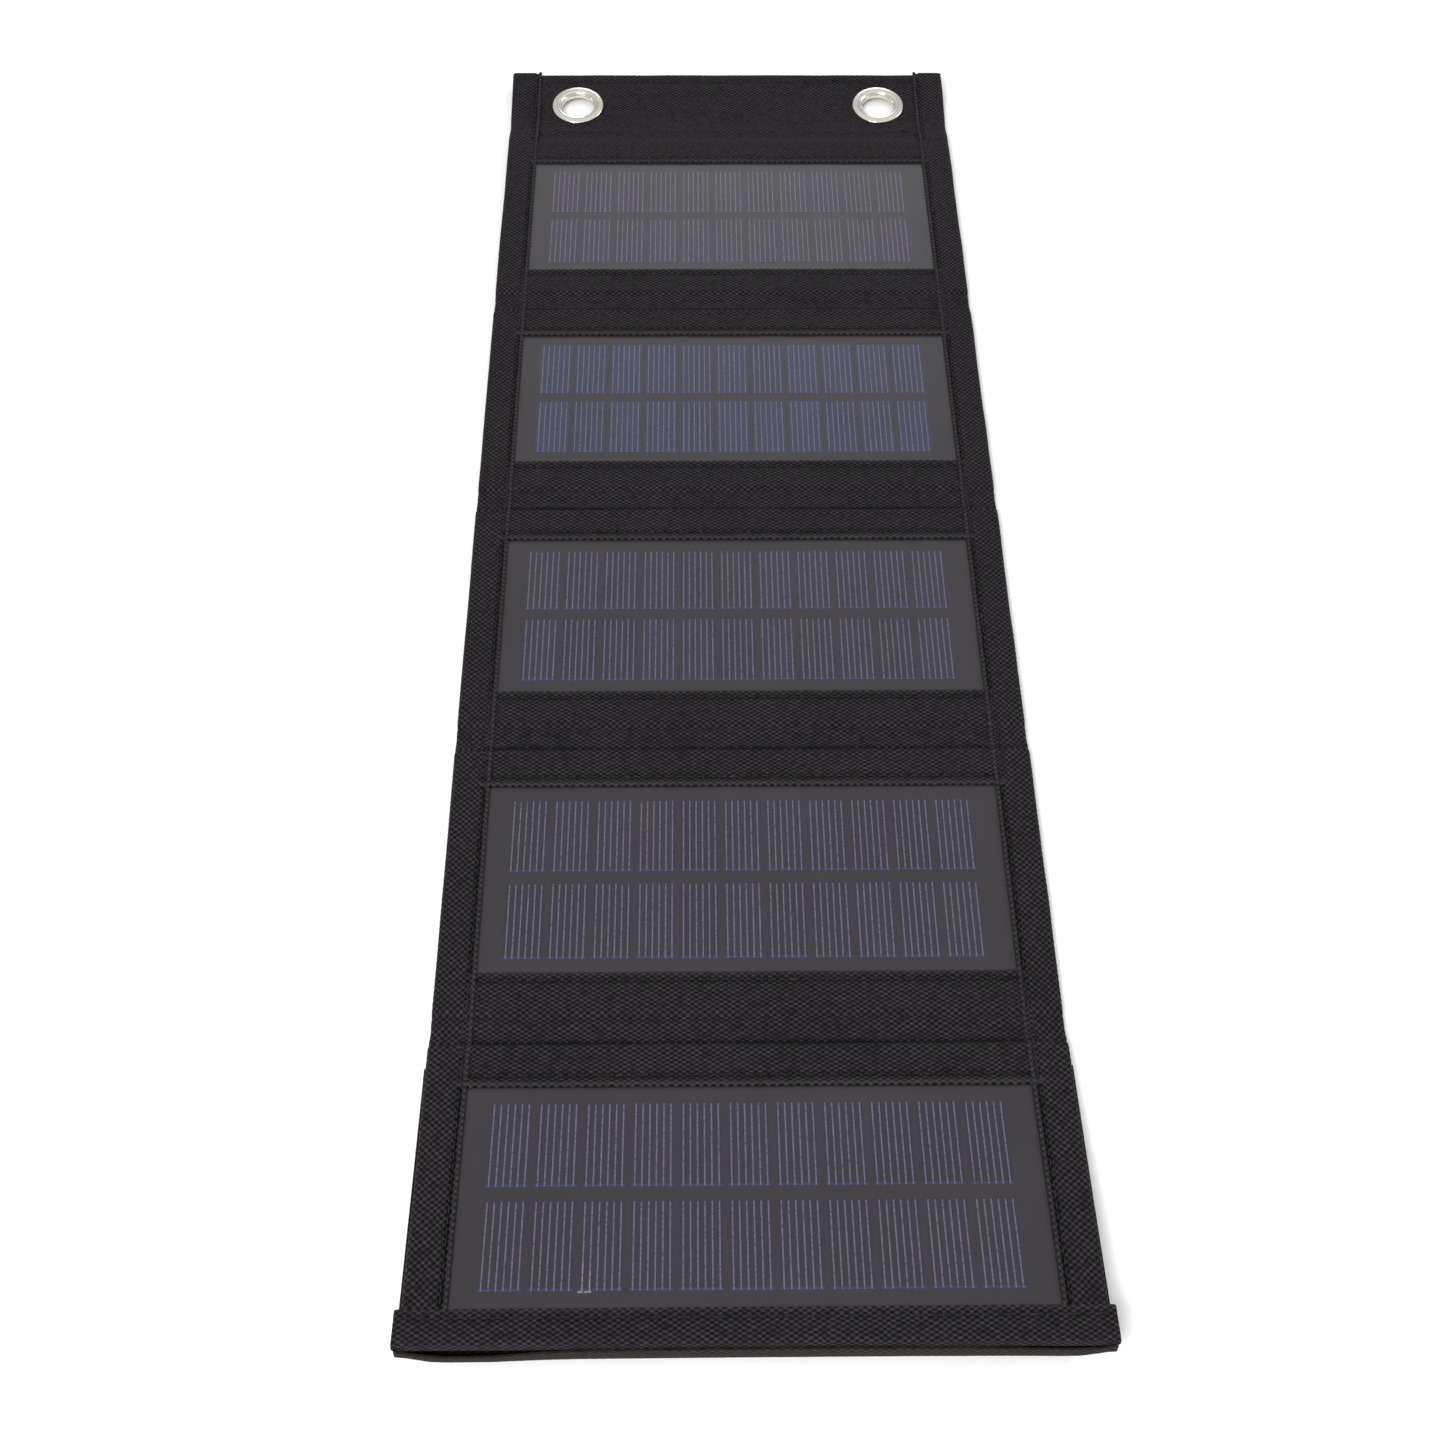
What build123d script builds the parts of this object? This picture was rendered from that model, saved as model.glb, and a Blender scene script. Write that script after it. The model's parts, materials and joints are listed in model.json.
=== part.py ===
from build123d import *
import math
import os

# Foldable five-panel solar charger, lying open on a table.
# X runs across the panels, Y along them from the hem to the hanging flap, Z is up.
# The pieces are first laid out from the hem's edge at Y = 0, with the back cloth's
# underside at Z = 0, and the whole is moved at the end so that its box stands centred
# on the origin with its lowest point at Z = 0.

# ---- driving sizes, in millimetres ----
PANELS = 5
WIDTH = 180.0            # over the side bindings
BINDING_W = 12.0         # binding seen on the face, outer edge to window
WINDOW_H = 67.5          # laminate seen between two cloth strips
GAP = 38.5               # cloth seen between two windows
HEM = 9.5                # hem at the bottom end
HEM_PROUD = 1.3          # hem past the bindings, each side
FLAP_L = 60.0            # first window's top edge to the flap's end
FLAP_HINGE = 25.0        # first window's top edge to the line where the flap folds

CLOTH_T = 0.6            # coated oxford cloth
STIFFENER_T = 1.4        # plastic stiffener board
LAMINATE_T = 1.0         # glass-fibre board under the cells
FILM_T = 0.2             # clear film over the cells
BINDING_PROUD = 0.4      # binding tape above and below the cloth

BOARD_LAP = 13.5         # stiffener past its window, along Y
BOARD_SIDE = 6.0         # stiffener past its window, along X
LAMINATE_LAP = 5.0       # laminate under the strips, along Y
LAMINATE_SIDE = 4.0      # laminate under the bindings, along X
CLOTH_INSET = 1.5        # back cloth's edge inside the binding's outer edge
HEM_INSET = 2.0          # stiffener's edge inside the hem's end
HEM_CLOTH_INSET = 1.0    # back cloth's edge inside the hem's end

FOLD_GAP = 0.15          # cut edge of a panel's cloth to the fold line
FOLD_CLEAR = 0.2         # panel's face to the fold axis
FIT = 0.1                # clearance round pieces that drop into a recess

COLUMNS = 11             # cells side by side
ROWS = 2                 # rows of cells
CELL_GAP = 1.48          # between cells in a row
ROW_GAP = 4.3
CELL_MARGIN_X = 7.9      # window's edge to the cells, along X
CELL_MARGIN_Y = 5.0      # window's edge to the cells, along Y
CELL_SHIFT = -0.7        # cell string off the window's middle, along X
CELL_RISE = 0.2          # cell rows off the window's middle, along Y (downwards)
CELL_T = 0.3

LEAD_X = 16.0            # each copper ribbon off the middle
LEAD_W = 4.0
LEAD_T = 0.3
RISER_L = 2.0            # solder riser, along Y

FLAP_START = 0.3         # flap's cut edge past its fold line
FLAP_ROOM = 1.6          # first panel's cut edge before the flap's fold line
FLAP_CLEAR = 0.1         # eyelets' rolled ends above the bindings' underside
FLAP_TAPE_LONG = 1.0     # flap's binding tape past its cloth

EYELET_SIDE = 27.7       # eyelet's centre in from the binding's outer edge
EYELET_END = 19.0        # eyelet's centre in from the flap's end
EYELET_HOLE_R = 6.5
EYELET_WALL = 0.5
FLANGE_W = 4.0           # flange past the hole
EYELET_RISE = 0.9        # flange above the cloth
FUNNEL_R = 1.7           # round from the flange into the hole
WASHER_W = 3.0           # washer past the barrel
WASHER_T = 0.5
LIP_W = 1.0              # barrel's rolled end past the barrel
LIP_T = 0.2

CASE_W = 45.0            # regulator case, along X
CASE_D = 20.0            # along Y
CASE_H = 6.8
CASE_WALL = 0.6
CASE_INSET = 2.0         # case front behind the hem's end
USB_W = 13.2             # socket shell, outside
USB_L = 14.0
USB_WALL = 0.3
TONGUE_W = 11.1
TONGUE_T = 1.8
TONGUE_TOP = 0.7         # gap between the tongue and the shell's top
TONGUE_L = 8.6
TONGUE_SET_BACK = 1.4    # tongue's tip behind the socket's mouth
CONTACTS = 4
CONTACT_PITCH = 2.3
CONTACT_W = 1.2
CONTACT_T = 0.2
CIRCUIT_T = 1.0
CIRCUIT_LIFT = 0.6       # circuit board above the case's floor
POST_R = 1.2
LED_R = 1.2
LED_X = 14.0
LED_L = 4.0
CHOKE = 7.0              # square choke coil
CHOKE_H = 2.8
CHIP_W = 5.0
CHIP_D = 4.0
CHIP_H = 1.5

POCKET_INSET = 2.0       # rear pocket's sides in from the bindings' outer edges
POCKET_BACK = 14.0       # pocket's closed end before the last fold line
POCKET_CLEAR = 0.1       # regulator case above the pocket's cloth

# ---- levels and places worked out from them ----
Z_STIFFENER = CLOTH_T
Z_LAMINATE = Z_STIFFENER + STIFFENER_T
Z_FILM = Z_LAMINATE + LAMINATE_T
Z_STRIP = Z_FILM + FILM_T
Z_FACE = Z_STRIP + CLOTH_T
Z_TOP = Z_FACE + BINDING_PROUD
Z_BOTTOM = -BINDING_PROUD
VALLEY_Z = Z_TOP + FOLD_CLEAR
MOUNTAIN_Z = Z_BOTTOM - FOLD_CLEAR

PITCH = WINDOW_H + GAP
HALF_W = WIDTH / 2
HALF_WINDOW = HALF_W - BINDING_W
WINDOW_W = 2 * HALF_WINDOW
CELL_W = (WINDOW_W - 2 * CELL_MARGIN_X - (COLUMNS - 1) * CELL_GAP) / COLUMNS
COLUMN_PITCH = CELL_W + CELL_GAP
CELL_H = (WINDOW_H - 2 * CELL_MARGIN_Y - (ROWS - 1) * ROW_GAP) / ROWS
LAST_FOLD_Y = HEM + WINDOW_H + GAP / 2
FIRST_TOP_Y = HEM + (PANELS - 1) * PITCH + WINDOW_H
FLAP_FOLD_Y = FIRST_TOP_Y + FLAP_HINGE
FLAP_END_Y = FIRST_TOP_Y + FLAP_L
FLAP_Z = Z_BOTTOM + FLAP_CLEAR + LIP_T + WASHER_T + CLOTH_T
EYELET_X = HALF_W - EYELET_SIDE
EYELET_Y = FLAP_END_Y - EYELET_END
EYELET_R = EYELET_HOLE_R + FLANGE_W
BARREL_R = EYELET_HOLE_R + EYELET_WALL
WASHER_R = BARREL_R + WASHER_W
LIP_R = BARREL_R + LIP_W

CASE_TOP_Z = Z_BOTTOM
CASE_BOTTOM_Z = CASE_TOP_Z - CASE_H
CASE_FRONT_Y = CASE_INSET
CASE_BACK_Y = CASE_FRONT_Y + CASE_D
CASE_SPLIT_Z = (CASE_TOP_Z + CASE_BOTTOM_Z) / 2
CASE_FLOOR_Z = CASE_BOTTOM_Z + CASE_WALL
CASE_ROOF_Z = CASE_TOP_Z - CASE_WALL
CIRCUIT_Z = CASE_FLOOR_Z + CIRCUIT_LIFT
CIRCUIT_TOP_Z = CIRCUIT_Z + CIRCUIT_T

# The last panel leans on the regulator case, whose back lower edge bears on the pocket's
# cloth.  Turning the panel by an angle lifts that edge by (reach x sine - drop x cosine)
# from the fold axis, and the angle is the one that brings it to the cloth's upper side.
REACH = LAST_FOLD_Y - CASE_BACK_Y
DROP = VALLEY_Z - CASE_BOTTOM_Z
BEARING = Z_BOTTOM + CLOTH_T + POCKET_CLEAR - VALLEY_Z
LEAN = math.degrees(math.asin(BEARING / math.hypot(REACH, DROP)) + math.atan2(DROP, REACH))


def slab(x0, x1, y0, y1, z0, z1):
    """A block between two opposite corners."""
    middle = ((x0 + x1) / 2, (y0 + y1) / 2, (z0 + z1) / 2)
    return Pos(*middle) * Box(x1 - x0, y1 - y0, z1 - z0)


def across(outline, x0, x1):
    """A side outline of (y, z) points carried along X."""
    face = make_face(Polyline(*[(x0, y, z) for y, z in outline], close=True))
    return extrude(face, amount=x1 - x0, dir=(1, 0, 0))


def along(outline, y0, y1):
    """A cross outline of (x, z) points carried along Y."""
    face = make_face(Polyline(*[(x, y0, z) for x, z in outline], close=True))
    return extrude(face, amount=y1 - y0, dir=(0, 1, 0))


def window_bottom(k):
    """Lower edge of panel k's window; the last panel is next to the hem."""
    return HEM + (PANELS - k) * PITCH


def window_top(k):
    return window_bottom(k) + WINDOW_H


def lower_end(k):
    """Cut edge of panel k's cloth towards the hem."""
    if k == PANELS:
        return HEM_CLOTH_INSET
    return window_bottom(k) - GAP / 2 + FOLD_GAP


def upper_end(k):
    """Cut edge of panel k's cloth towards the flap."""
    if k == 1:
        return FLAP_FOLD_Y - FLAP_ROOM
    return window_top(k) + GAP / 2 - FOLD_GAP


def board_ends(k):
    """Both ends of panel k's stiffener."""
    if k == PANELS:
        return HEM_INSET, window_top(k) + BOARD_LAP
    return window_bottom(k) - BOARD_LAP, window_top(k) + BOARD_LAP


def riser_y(k):
    return (window_bottom(k) + window_top(k)) / 2


def lead_ends(k):
    """Both ends of the ribbons on panel k."""
    start = CASE_BACK_Y - RISER_L - CASE_WALL - FIT if k == PANELS else lower_end(k)
    end = riser_y(k) + RISER_L / 2 if k == 1 else upper_end(k)
    return start, end


def leads(k):
    """Two flat copper ribbons under the stiffener, each with a riser to the laminate."""
    start, end = lead_ends(k)
    pair = []
    for x in (-LEAD_X, LEAD_X):
        x0, x1 = x - LEAD_W / 2, x + LEAD_W / 2
        ribbon = slab(x0, x1, start, end, Z_STIFFENER, Z_STIFFENER + LEAD_T)
        y = riser_y(k)
        riser = slab(x0, x1, y - RISER_L / 2, y + RISER_L / 2, Z_STIFFENER, Z_LAMINATE)
        ribbon += riser
        if k == PANELS:
            ribbon += slab(x0, x1, start, start + RISER_L, CIRCUIT_TOP_Z, Z_STIFFENER + LEAD_T)
        pair.append(ribbon)
    return pair


def lead_channels(k):
    """The room that the ribbons and risers need in the pieces round them."""
    start, end = lead_ends(k)
    room = []
    for x in (-LEAD_X, LEAD_X):
        x0, x1 = x - LEAD_W / 2 - FIT, x + LEAD_W / 2 + FIT
        room.append(slab(x0, x1, start - FIT, end + FIT, Z_STIFFENER, Z_STIFFENER + LEAD_T))
        y = riser_y(k)
        half = RISER_L / 2 + FIT
        room.append(slab(x0, x1, y - half, y + half, Z_STIFFENER, Z_LAMINATE))
    return room


def lead_slots():
    """Slots for the tails that drop from the last panel's ribbons into the case."""
    start = lead_ends(PANELS)[0]
    slots = []
    for x in (-LEAD_X, LEAD_X):
        x0, x1 = x - LEAD_W / 2 - FIT, x + LEAD_W / 2 + FIT
        slots.append(slab(x0, x1, start - FIT, start + RISER_L + FIT, CASE_SPLIT_Z, Z_STIFFENER))
    return slots


def cell_places(k):
    """Lower left corner of every cell on panel k."""
    string_w = (COLUMNS - 1) * COLUMN_PITCH + CELL_W
    string_h = ROWS * CELL_H + (ROWS - 1) * ROW_GAP
    x0 = CELL_SHIFT - string_w / 2
    y0 = (window_bottom(k) + window_top(k)) / 2 - CELL_RISE - string_h / 2
    return [
        (x0 + column * COLUMN_PITCH, y0 + row * (CELL_H + ROW_GAP))
        for row in range(ROWS)
        for column in range(COLUMNS)
    ]


def cells(k):
    """Separate thin silicon cells, flush with the laminate's upper side."""
    return [
        slab(x, x + CELL_W, y, y + CELL_H, Z_FILM - CELL_T, Z_FILM)
        for x, y in cell_places(k)
    ]


def laminate(k):
    """Glass-fibre board with a shallow recess for each cell."""
    side = HALF_WINDOW + LAMINATE_SIDE
    low, high = window_bottom(k) - LAMINATE_LAP, window_top(k) + LAMINATE_LAP
    board = slab(-side, side, low, high, Z_LAMINATE, Z_FILM)
    recesses = [
        slab(x - FIT, x + CELL_W + FIT, y - FIT, y + CELL_H + FIT, Z_FILM - CELL_T, Z_FILM)
        for x, y in cell_places(k)
    ]
    return [board - recesses]


def film(k):
    """Clear cover film over the whole laminate."""
    side = HALF_WINDOW + LAMINATE_SIDE
    low, high = window_bottom(k) - LAMINATE_LAP, window_top(k) + LAMINATE_LAP
    return [slab(-side, side, low, high, Z_FILM, Z_STRIP)]


def stiffener(k):
    """Plastic board that keeps the panel flat, grooved for the ribbons."""
    side = HALF_WINDOW + BOARD_SIDE
    low, high = board_ends(k)
    board = slab(-side, side, low, high, Z_STIFFENER, Z_LAMINATE)
    return [board - lead_channels(k)]


def back_cloth(k):
    side = HALF_W - CLOTH_INSET
    cloth = slab(-side, side, lower_end(k), upper_end(k), 0, CLOTH_T)
    if k == PANELS:
        cloth -= lead_slots()
    return [cloth]


def strip(k, edge, end, outward):
    """Front cloth from a window's edge, over the laminate and the board, to the cut end.

    edge is the window's edge, end the cut end, outward +1 towards the flap or -1."""
    film_end = edge + outward * LAMINATE_LAP
    board_end = edge + outward * BOARD_LAP
    outline = [
        (edge, Z_STRIP),
        (film_end, Z_STRIP),
        (film_end, Z_LAMINATE),
        (board_end, Z_LAMINATE),
        (board_end, Z_STIFFENER),
        (end, Z_STIFFENER),
        (end, Z_STIFFENER + CLOTH_T + LEAD_T),
        (board_end, Z_FACE),
        (edge, Z_FACE),
    ]
    return across(outline, -HALF_WINDOW, HALF_WINDOW) - lead_channels(k)


def top_strip(k):
    return [strip(k, window_top(k), upper_end(k), 1)]


def bottom_strip(k):
    return [strip(k, window_bottom(k), lower_end(k), -1)]


def bindings(k):
    """Folded tape down both sides, closed round the edges of every layer."""
    start = HEM if k == PANELS else lower_end(k)
    pair = []
    for side in (-1, 1):
        outline = [
            (HALF_WINDOW, Z_BOTTOM),
            (HALF_W, Z_BOTTOM),
            (HALF_W, Z_TOP),
            (HALF_WINDOW, Z_TOP),
            (HALF_WINDOW, Z_STRIP),
            (HALF_WINDOW + LAMINATE_SIDE, Z_STRIP),
            (HALF_WINDOW + LAMINATE_SIDE, Z_LAMINATE),
            (HALF_WINDOW + BOARD_SIDE, Z_LAMINATE),
            (HALF_WINDOW + BOARD_SIDE, Z_STIFFENER),
            (HALF_W - CLOTH_INSET, Z_STIFFENER),
            (HALF_W - CLOTH_INSET, 0),
            (HALF_WINDOW, 0),
        ]
        pair.append(along([(side * x, z) for x, z in outline], start, upper_end(k)))
    return pair


def bottom_hem():
    """Cloth folded over the bottom end of the last panel and its bindings."""
    outline = [
        (0, Z_BOTTOM),
        (HEM, Z_BOTTOM),
        (HEM, 0),
        (HEM_CLOTH_INSET, 0),
        (HEM_CLOTH_INSET, Z_STIFFENER),
        (HEM_INSET, Z_STIFFENER),
        (HEM_INSET, Z_LAMINATE),
        (HEM - LAMINATE_LAP, Z_LAMINATE),
        (HEM - LAMINATE_LAP, Z_STRIP),
        (HEM, Z_STRIP),
        (HEM, Z_TOP),
        (0, Z_TOP),
    ]
    side = HALF_W + HEM_PROUD
    return [across(outline, -side, side)]


def barrel_holes():
    """Punched holes for the eyelets' barrels."""
    height = 4 * CLOTH_T
    return [
        Pos(side * EYELET_X, EYELET_Y, FLAP_Z) * Cylinder(BARREL_R, height)
        for side in (-1, 1)
    ]


def flap_cloth(z0):
    side = HALF_W - CLOTH_INSET
    layer = slab(-side, side, FLAP_FOLD_Y + FLAP_START, FLAP_END_Y, z0, z0 + CLOTH_T)
    return [layer - barrel_holes()]


def flap_bindings():
    """Folded tape round both side edges of the flap."""
    pair = []
    low, high = FLAP_Z - CLOTH_T, FLAP_Z + CLOTH_T
    for side in (-1, 1):
        outline = [
            (HALF_WINDOW, low - BINDING_PROUD),
            (HALF_W, low - BINDING_PROUD),
            (HALF_W, high + BINDING_PROUD),
            (HALF_WINDOW, high + BINDING_PROUD),
            (HALF_WINDOW, high),
            (HALF_W - CLOTH_INSET, high),
            (HALF_W - CLOTH_INSET, low),
            (HALF_WINDOW, low),
        ]
        start, end = FLAP_FOLD_Y + FLAP_START, FLAP_END_Y + FLAP_TAPE_LONG
        pair.append(along([(side * x, z) for x, z in outline], start, end))
    return pair


def turned(edges):
    """A ring turned from its half section in the XZ plane."""
    return revolve(make_face(edges), axis=Axis.Z, revolution_arc=360)


def eyelet():
    """Pressed eyelet: domed flange, funnel, barrel and rolled lip, about its own axis."""
    seat = FLAP_Z + CLOTH_T
    back = FLAP_Z - CLOTH_T
    crown_r = EYELET_HOLE_R + FUNNEL_R
    crown_z = seat + EYELET_RISE
    throat_z = crown_z - FUNNEL_R
    washer_z = back - WASHER_T
    lip_z = washer_z - LIP_T
    turn = FUNNEL_R * math.sqrt(0.5)
    funnel = ThreePointArc(
        (EYELET_HOLE_R, 0, throat_z),
        (crown_r - turn, 0, throat_z + turn),
        (crown_r, 0, crown_z),
    )
    shoulder = ((crown_r + EYELET_R) / 2, 0, crown_z - 0.2 * EYELET_RISE)
    dome = ThreePointArc((crown_r, 0, crown_z), shoulder, (EYELET_R, 0, seat + FIT))
    rest = Polyline(
        (EYELET_R, 0, seat + FIT),
        (EYELET_R, 0, seat),
        (BARREL_R, 0, seat),
        (BARREL_R, 0, washer_z),
        (LIP_R, 0, washer_z),
        (LIP_R, 0, lip_z),
        (EYELET_HOLE_R, 0, lip_z),
        (EYELET_HOLE_R, 0, throat_z),
    )
    return turned([funnel, dome, rest])


def eyelets():
    return [Pos(side * EYELET_X, EYELET_Y, 0) * eyelet() for side in (-1, 1)]


def eyelet_washers():
    """Flat back washers under the rolled lips."""
    z = FLAP_Z - CLOTH_T - WASHER_T / 2
    ring = Cylinder(WASHER_R, WASHER_T) - Cylinder(BARREL_R, WASHER_T)
    return [Pos(side * EYELET_X, EYELET_Y, z) * ring for side in (-1, 1)]


def case_half(z0, z1, cavity0, cavity1):
    """One half of the regulator case: a tray with the socket's and the lamp's openings."""
    half = CASE_W / 2
    shell = slab(-half, half, CASE_FRONT_Y, CASE_BACK_Y, z0, z1)
    inside = half - CASE_WALL
    y0, y1 = CASE_FRONT_Y + CASE_WALL, CASE_BACK_Y - CASE_WALL
    shell -= slab(-inside, inside, y0, y1, cavity0, cavity1)
    mouth = USB_W / 2 + FIT
    shell -= slab(-mouth, mouth, CASE_FRONT_Y, y0, CASE_FLOOR_Z, CASE_ROOF_Z)
    return shell - lamp()


def case_top():
    """Upper half, with a raised foot glued to the last panel's back cloth."""
    shell = case_half(CASE_SPLIT_Z, CASE_TOP_Z, CASE_SPLIT_Z, CASE_ROOF_Z)
    half = CASE_W / 2
    foot = slab(-half, half, HEM + FIT, CASE_BACK_Y, CASE_TOP_Z, 0)
    return [(shell + foot) - lead_slots()]


def case_bottom():
    """Lower half, with four posts under the circuit board."""
    shell = case_half(CASE_BOTTOM_Z, CASE_SPLIT_Z, CASE_FLOOR_Z, CASE_SPLIT_Z)
    x = CASE_W / 2 - CASE_WALL - FIT - POST_R
    y0 = CASE_FRONT_Y + CASE_WALL + FIT + POST_R
    y1 = CASE_BACK_Y - CASE_WALL - FIT - POST_R
    post = Cylinder(POST_R, CIRCUIT_LIFT + CASE_WALL)
    z = CASE_FLOOR_Z - CASE_WALL / 2 + CIRCUIT_LIFT / 2
    for px in (-x, x):
        for py in (y0, y1):
            shell += Pos(px, py, z) * post
    return [shell]


def circuit_board():
    """Circuit board cut away round the socket."""
    half = CASE_W / 2 - CASE_WALL - FIT
    y0, y1 = CASE_FRONT_Y + CASE_WALL + FIT, CASE_BACK_Y - CASE_WALL - FIT
    board = slab(-half, half, y0, y1, CIRCUIT_Z, CIRCUIT_TOP_Z)
    mouth = USB_W / 2 + FIT
    return [board - slab(-mouth, mouth, y0, CASE_FRONT_Y + USB_L, CIRCUIT_Z, CIRCUIT_TOP_Z)]


def usb_shell():
    """Bent sheet-metal shell of the socket, open at the front."""
    half = USB_W / 2
    shell = slab(-half, half, CASE_FRONT_Y, CASE_FRONT_Y + USB_L, CASE_FLOOR_Z, CASE_ROOF_Z)
    inner = half - USB_WALL
    low, high = CASE_FLOOR_Z + USB_WALL, CASE_ROOF_Z - USB_WALL
    return [shell - slab(-inner, inner, CASE_FRONT_Y, CASE_FRONT_Y + USB_L - USB_WALL, low, high)]


def tongue_level():
    """Underside of the socket's tongue."""
    return CASE_ROOF_Z - USB_WALL - TONGUE_TOP - TONGUE_T


def usb_tongue():
    """Moulded tongue and the block that closes the back of the socket."""
    inner = USB_W / 2 - USB_WALL
    low, high = CASE_FLOOR_Z + USB_WALL, CASE_ROOF_Z - USB_WALL
    tip = CASE_FRONT_Y + TONGUE_SET_BACK
    root = tip + TONGUE_L
    z = tongue_level()
    tongue = slab(-TONGUE_W / 2, TONGUE_W / 2, tip, root, z, z + TONGUE_T)
    block = slab(-inner, inner, root, CASE_FRONT_Y + USB_L - USB_WALL, low, high)
    return [tongue + block]


def usb_contacts():
    """Flat spring contacts under the tongue."""
    z = tongue_level()
    tip = CASE_FRONT_Y + TONGUE_SET_BACK + CONTACT_W
    root = CASE_FRONT_Y + TONGUE_SET_BACK + TONGUE_L
    first = -(CONTACTS - 1) / 2 * CONTACT_PITCH
    return [
        slab(x - CONTACT_W / 2, x + CONTACT_W / 2, tip, root, z - CONTACT_T, z)
        for x in (first + i * CONTACT_PITCH for i in range(CONTACTS))
    ]


def choke_coil():
    x = -LEAD_X + CHOKE / 2
    y = CASE_FRONT_Y + CASE_WALL + FIT + 2 * POST_R + CHOKE / 2
    block = slab(x - CHOKE, x, y - CHOKE / 2, y + CHOKE / 2, CIRCUIT_TOP_Z, CIRCUIT_TOP_Z + CHOKE_H)
    return [chamfer(block.edges().filter_by(Axis.Z), CHOKE / 8)]


def regulator_chip():
    y = CASE_FRONT_Y + CASE_D / 2
    x0, x1 = LEAD_X - CHIP_W / 2, LEAD_X + CHIP_W / 2
    return [slab(x0, x1, y - CHIP_D / 2, y + CHIP_D / 2, CIRCUIT_TOP_Z, CIRCUIT_TOP_Z + CHIP_H)]


def lamp():
    """Light pipe on the circuit board, through the case's front wall and flush outside."""
    y = CASE_FRONT_Y + LED_L / 2
    return Pos(LED_X, y, CIRCUIT_TOP_Z + LED_R) * Rot(X=90) * Cylinder(LED_R, LED_L)


def lean_point(y, z):
    """Where a point of the last panel, given as if it lay flat, is when it leans."""
    turn = math.radians(LEAN)
    dy, dz = y - LAST_FOLD_Y, z - VALLEY_Z
    return (
        LAST_FOLD_Y + dy * math.cos(turn) + dz * math.sin(turn),
        VALLEY_Z - dy * math.sin(turn) + dz * math.cos(turn),
    )


def lean(shapes):
    """Turn flat pieces of the last panel about its fold axis, hem upwards."""
    turn = Pos(0, LAST_FOLD_Y, VALLEY_Z) * Rot(X=-LEAN) * Pos(0, -LAST_FOLD_Y, -VALLEY_Z)
    return [turn * shape for shape in shapes]


def rear_pocket():
    """Cloth under the last panel: flat on the table, gusseted sides, open at the hem."""
    top_back = lean_point(LAST_FOLD_Y - POCKET_BACK, Z_BOTTOM)
    top_front = lean_point(HEM_CLOTH_INSET, Z_BOTTOM)
    outer = [top_back, top_front, (top_front[0], Z_BOTTOM), (top_back[0], Z_BOTTOM)]
    wedge = across(outer, -HALF_W + POCKET_INSET, HALF_W - POCKET_INSET)
    wall = HALF_W - POCKET_INSET - CLOTH_T
    past = top_front[0] - HEM
    above = top_front[1] + HEM
    floor = Z_BOTTOM + CLOTH_T
    room = slab(-wall, wall, past, top_back[0] - CLOTH_T, floor, above)
    return [wedge - room]


def placed():
    """Every node's solids, keyed by name, before the whole is centred."""
    nodes = {}
    for k in range(1, PANELS + 1):
        pieces = {
            "laminate": laminate(k),
            "cells": cells(k),
            "film": film(k),
            "stiffener": stiffener(k),
            "back_cloth": back_cloth(k),
            "top_strip": top_strip(k),
            "bindings": bindings(k),
            "leads": leads(k),
        }
        if k < PANELS:
            pieces["bottom_strip"] = bottom_strip(k)
        else:
            pieces = {name: lean(solids) for name, solids in pieces.items()}
        for name, solids in pieces.items():
            nodes[f"panel_{k}_{name}"] = solids
    nodes["bottom_hem"] = lean(bottom_hem())
    nodes["rear_pocket"] = rear_pocket()
    nodes["flap_front_cloth"] = flap_cloth(FLAP_Z)
    nodes["flap_back_cloth"] = flap_cloth(FLAP_Z - CLOTH_T)
    nodes["flap_bindings"] = flap_bindings()
    nodes["eyelets"] = eyelets()
    nodes["eyelet_washers"] = eyelet_washers()
    nodes["regulator_case_top"] = lean(case_top())
    nodes["regulator_case_bottom"] = lean(case_bottom())
    nodes["regulator_circuit_board"] = lean(circuit_board())
    nodes["usb_socket_shell"] = lean(usb_shell())
    nodes["usb_socket_tongue"] = lean(usb_tongue())
    nodes["usb_socket_contacts"] = lean(usb_contacts())
    nodes["choke_coil"] = lean(choke_coil())
    nodes["regulator_chip"] = lean(regulator_chip())
    nodes["lamp_light_pipe"] = lean([lamp()])
    return nodes


def single_solids(shapes):
    """Every solid of a node's shapes, as a flat list."""
    return [solid for shape in shapes for solid in shape.solids()]


def main():
    os.makedirs("parts", exist_ok=True)
    nodes = {name: single_solids(shapes) for name, shapes in placed().items()}
    box = Compound([solid for solids in nodes.values() for solid in solids]).bounding_box()
    shift = Pos(-(box.min.X + box.max.X) / 2, -(box.min.Y + box.max.Y) / 2, -box.min.Z)
    for name, solids in nodes.items():
        moved = [shift * solid for solid in solids]
        whole = moved[0] if len(moved) == 1 else Compound(children=moved)
        whole.label = name
        export_step(whole, f"parts/{name}.step")
    print("size", [round(v, 3) for v in (box.size.X, box.size.Y, box.size.Z)])
    print("shift", [round(v, 4) for v in tuple(shift.position)], "lean", round(LEAN, 4))
    return tuple(shift.position)


SHIFT = main()
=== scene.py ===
import json
import math

import bpy
import numpy as np
from mathutils import Matrix, Vector


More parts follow.
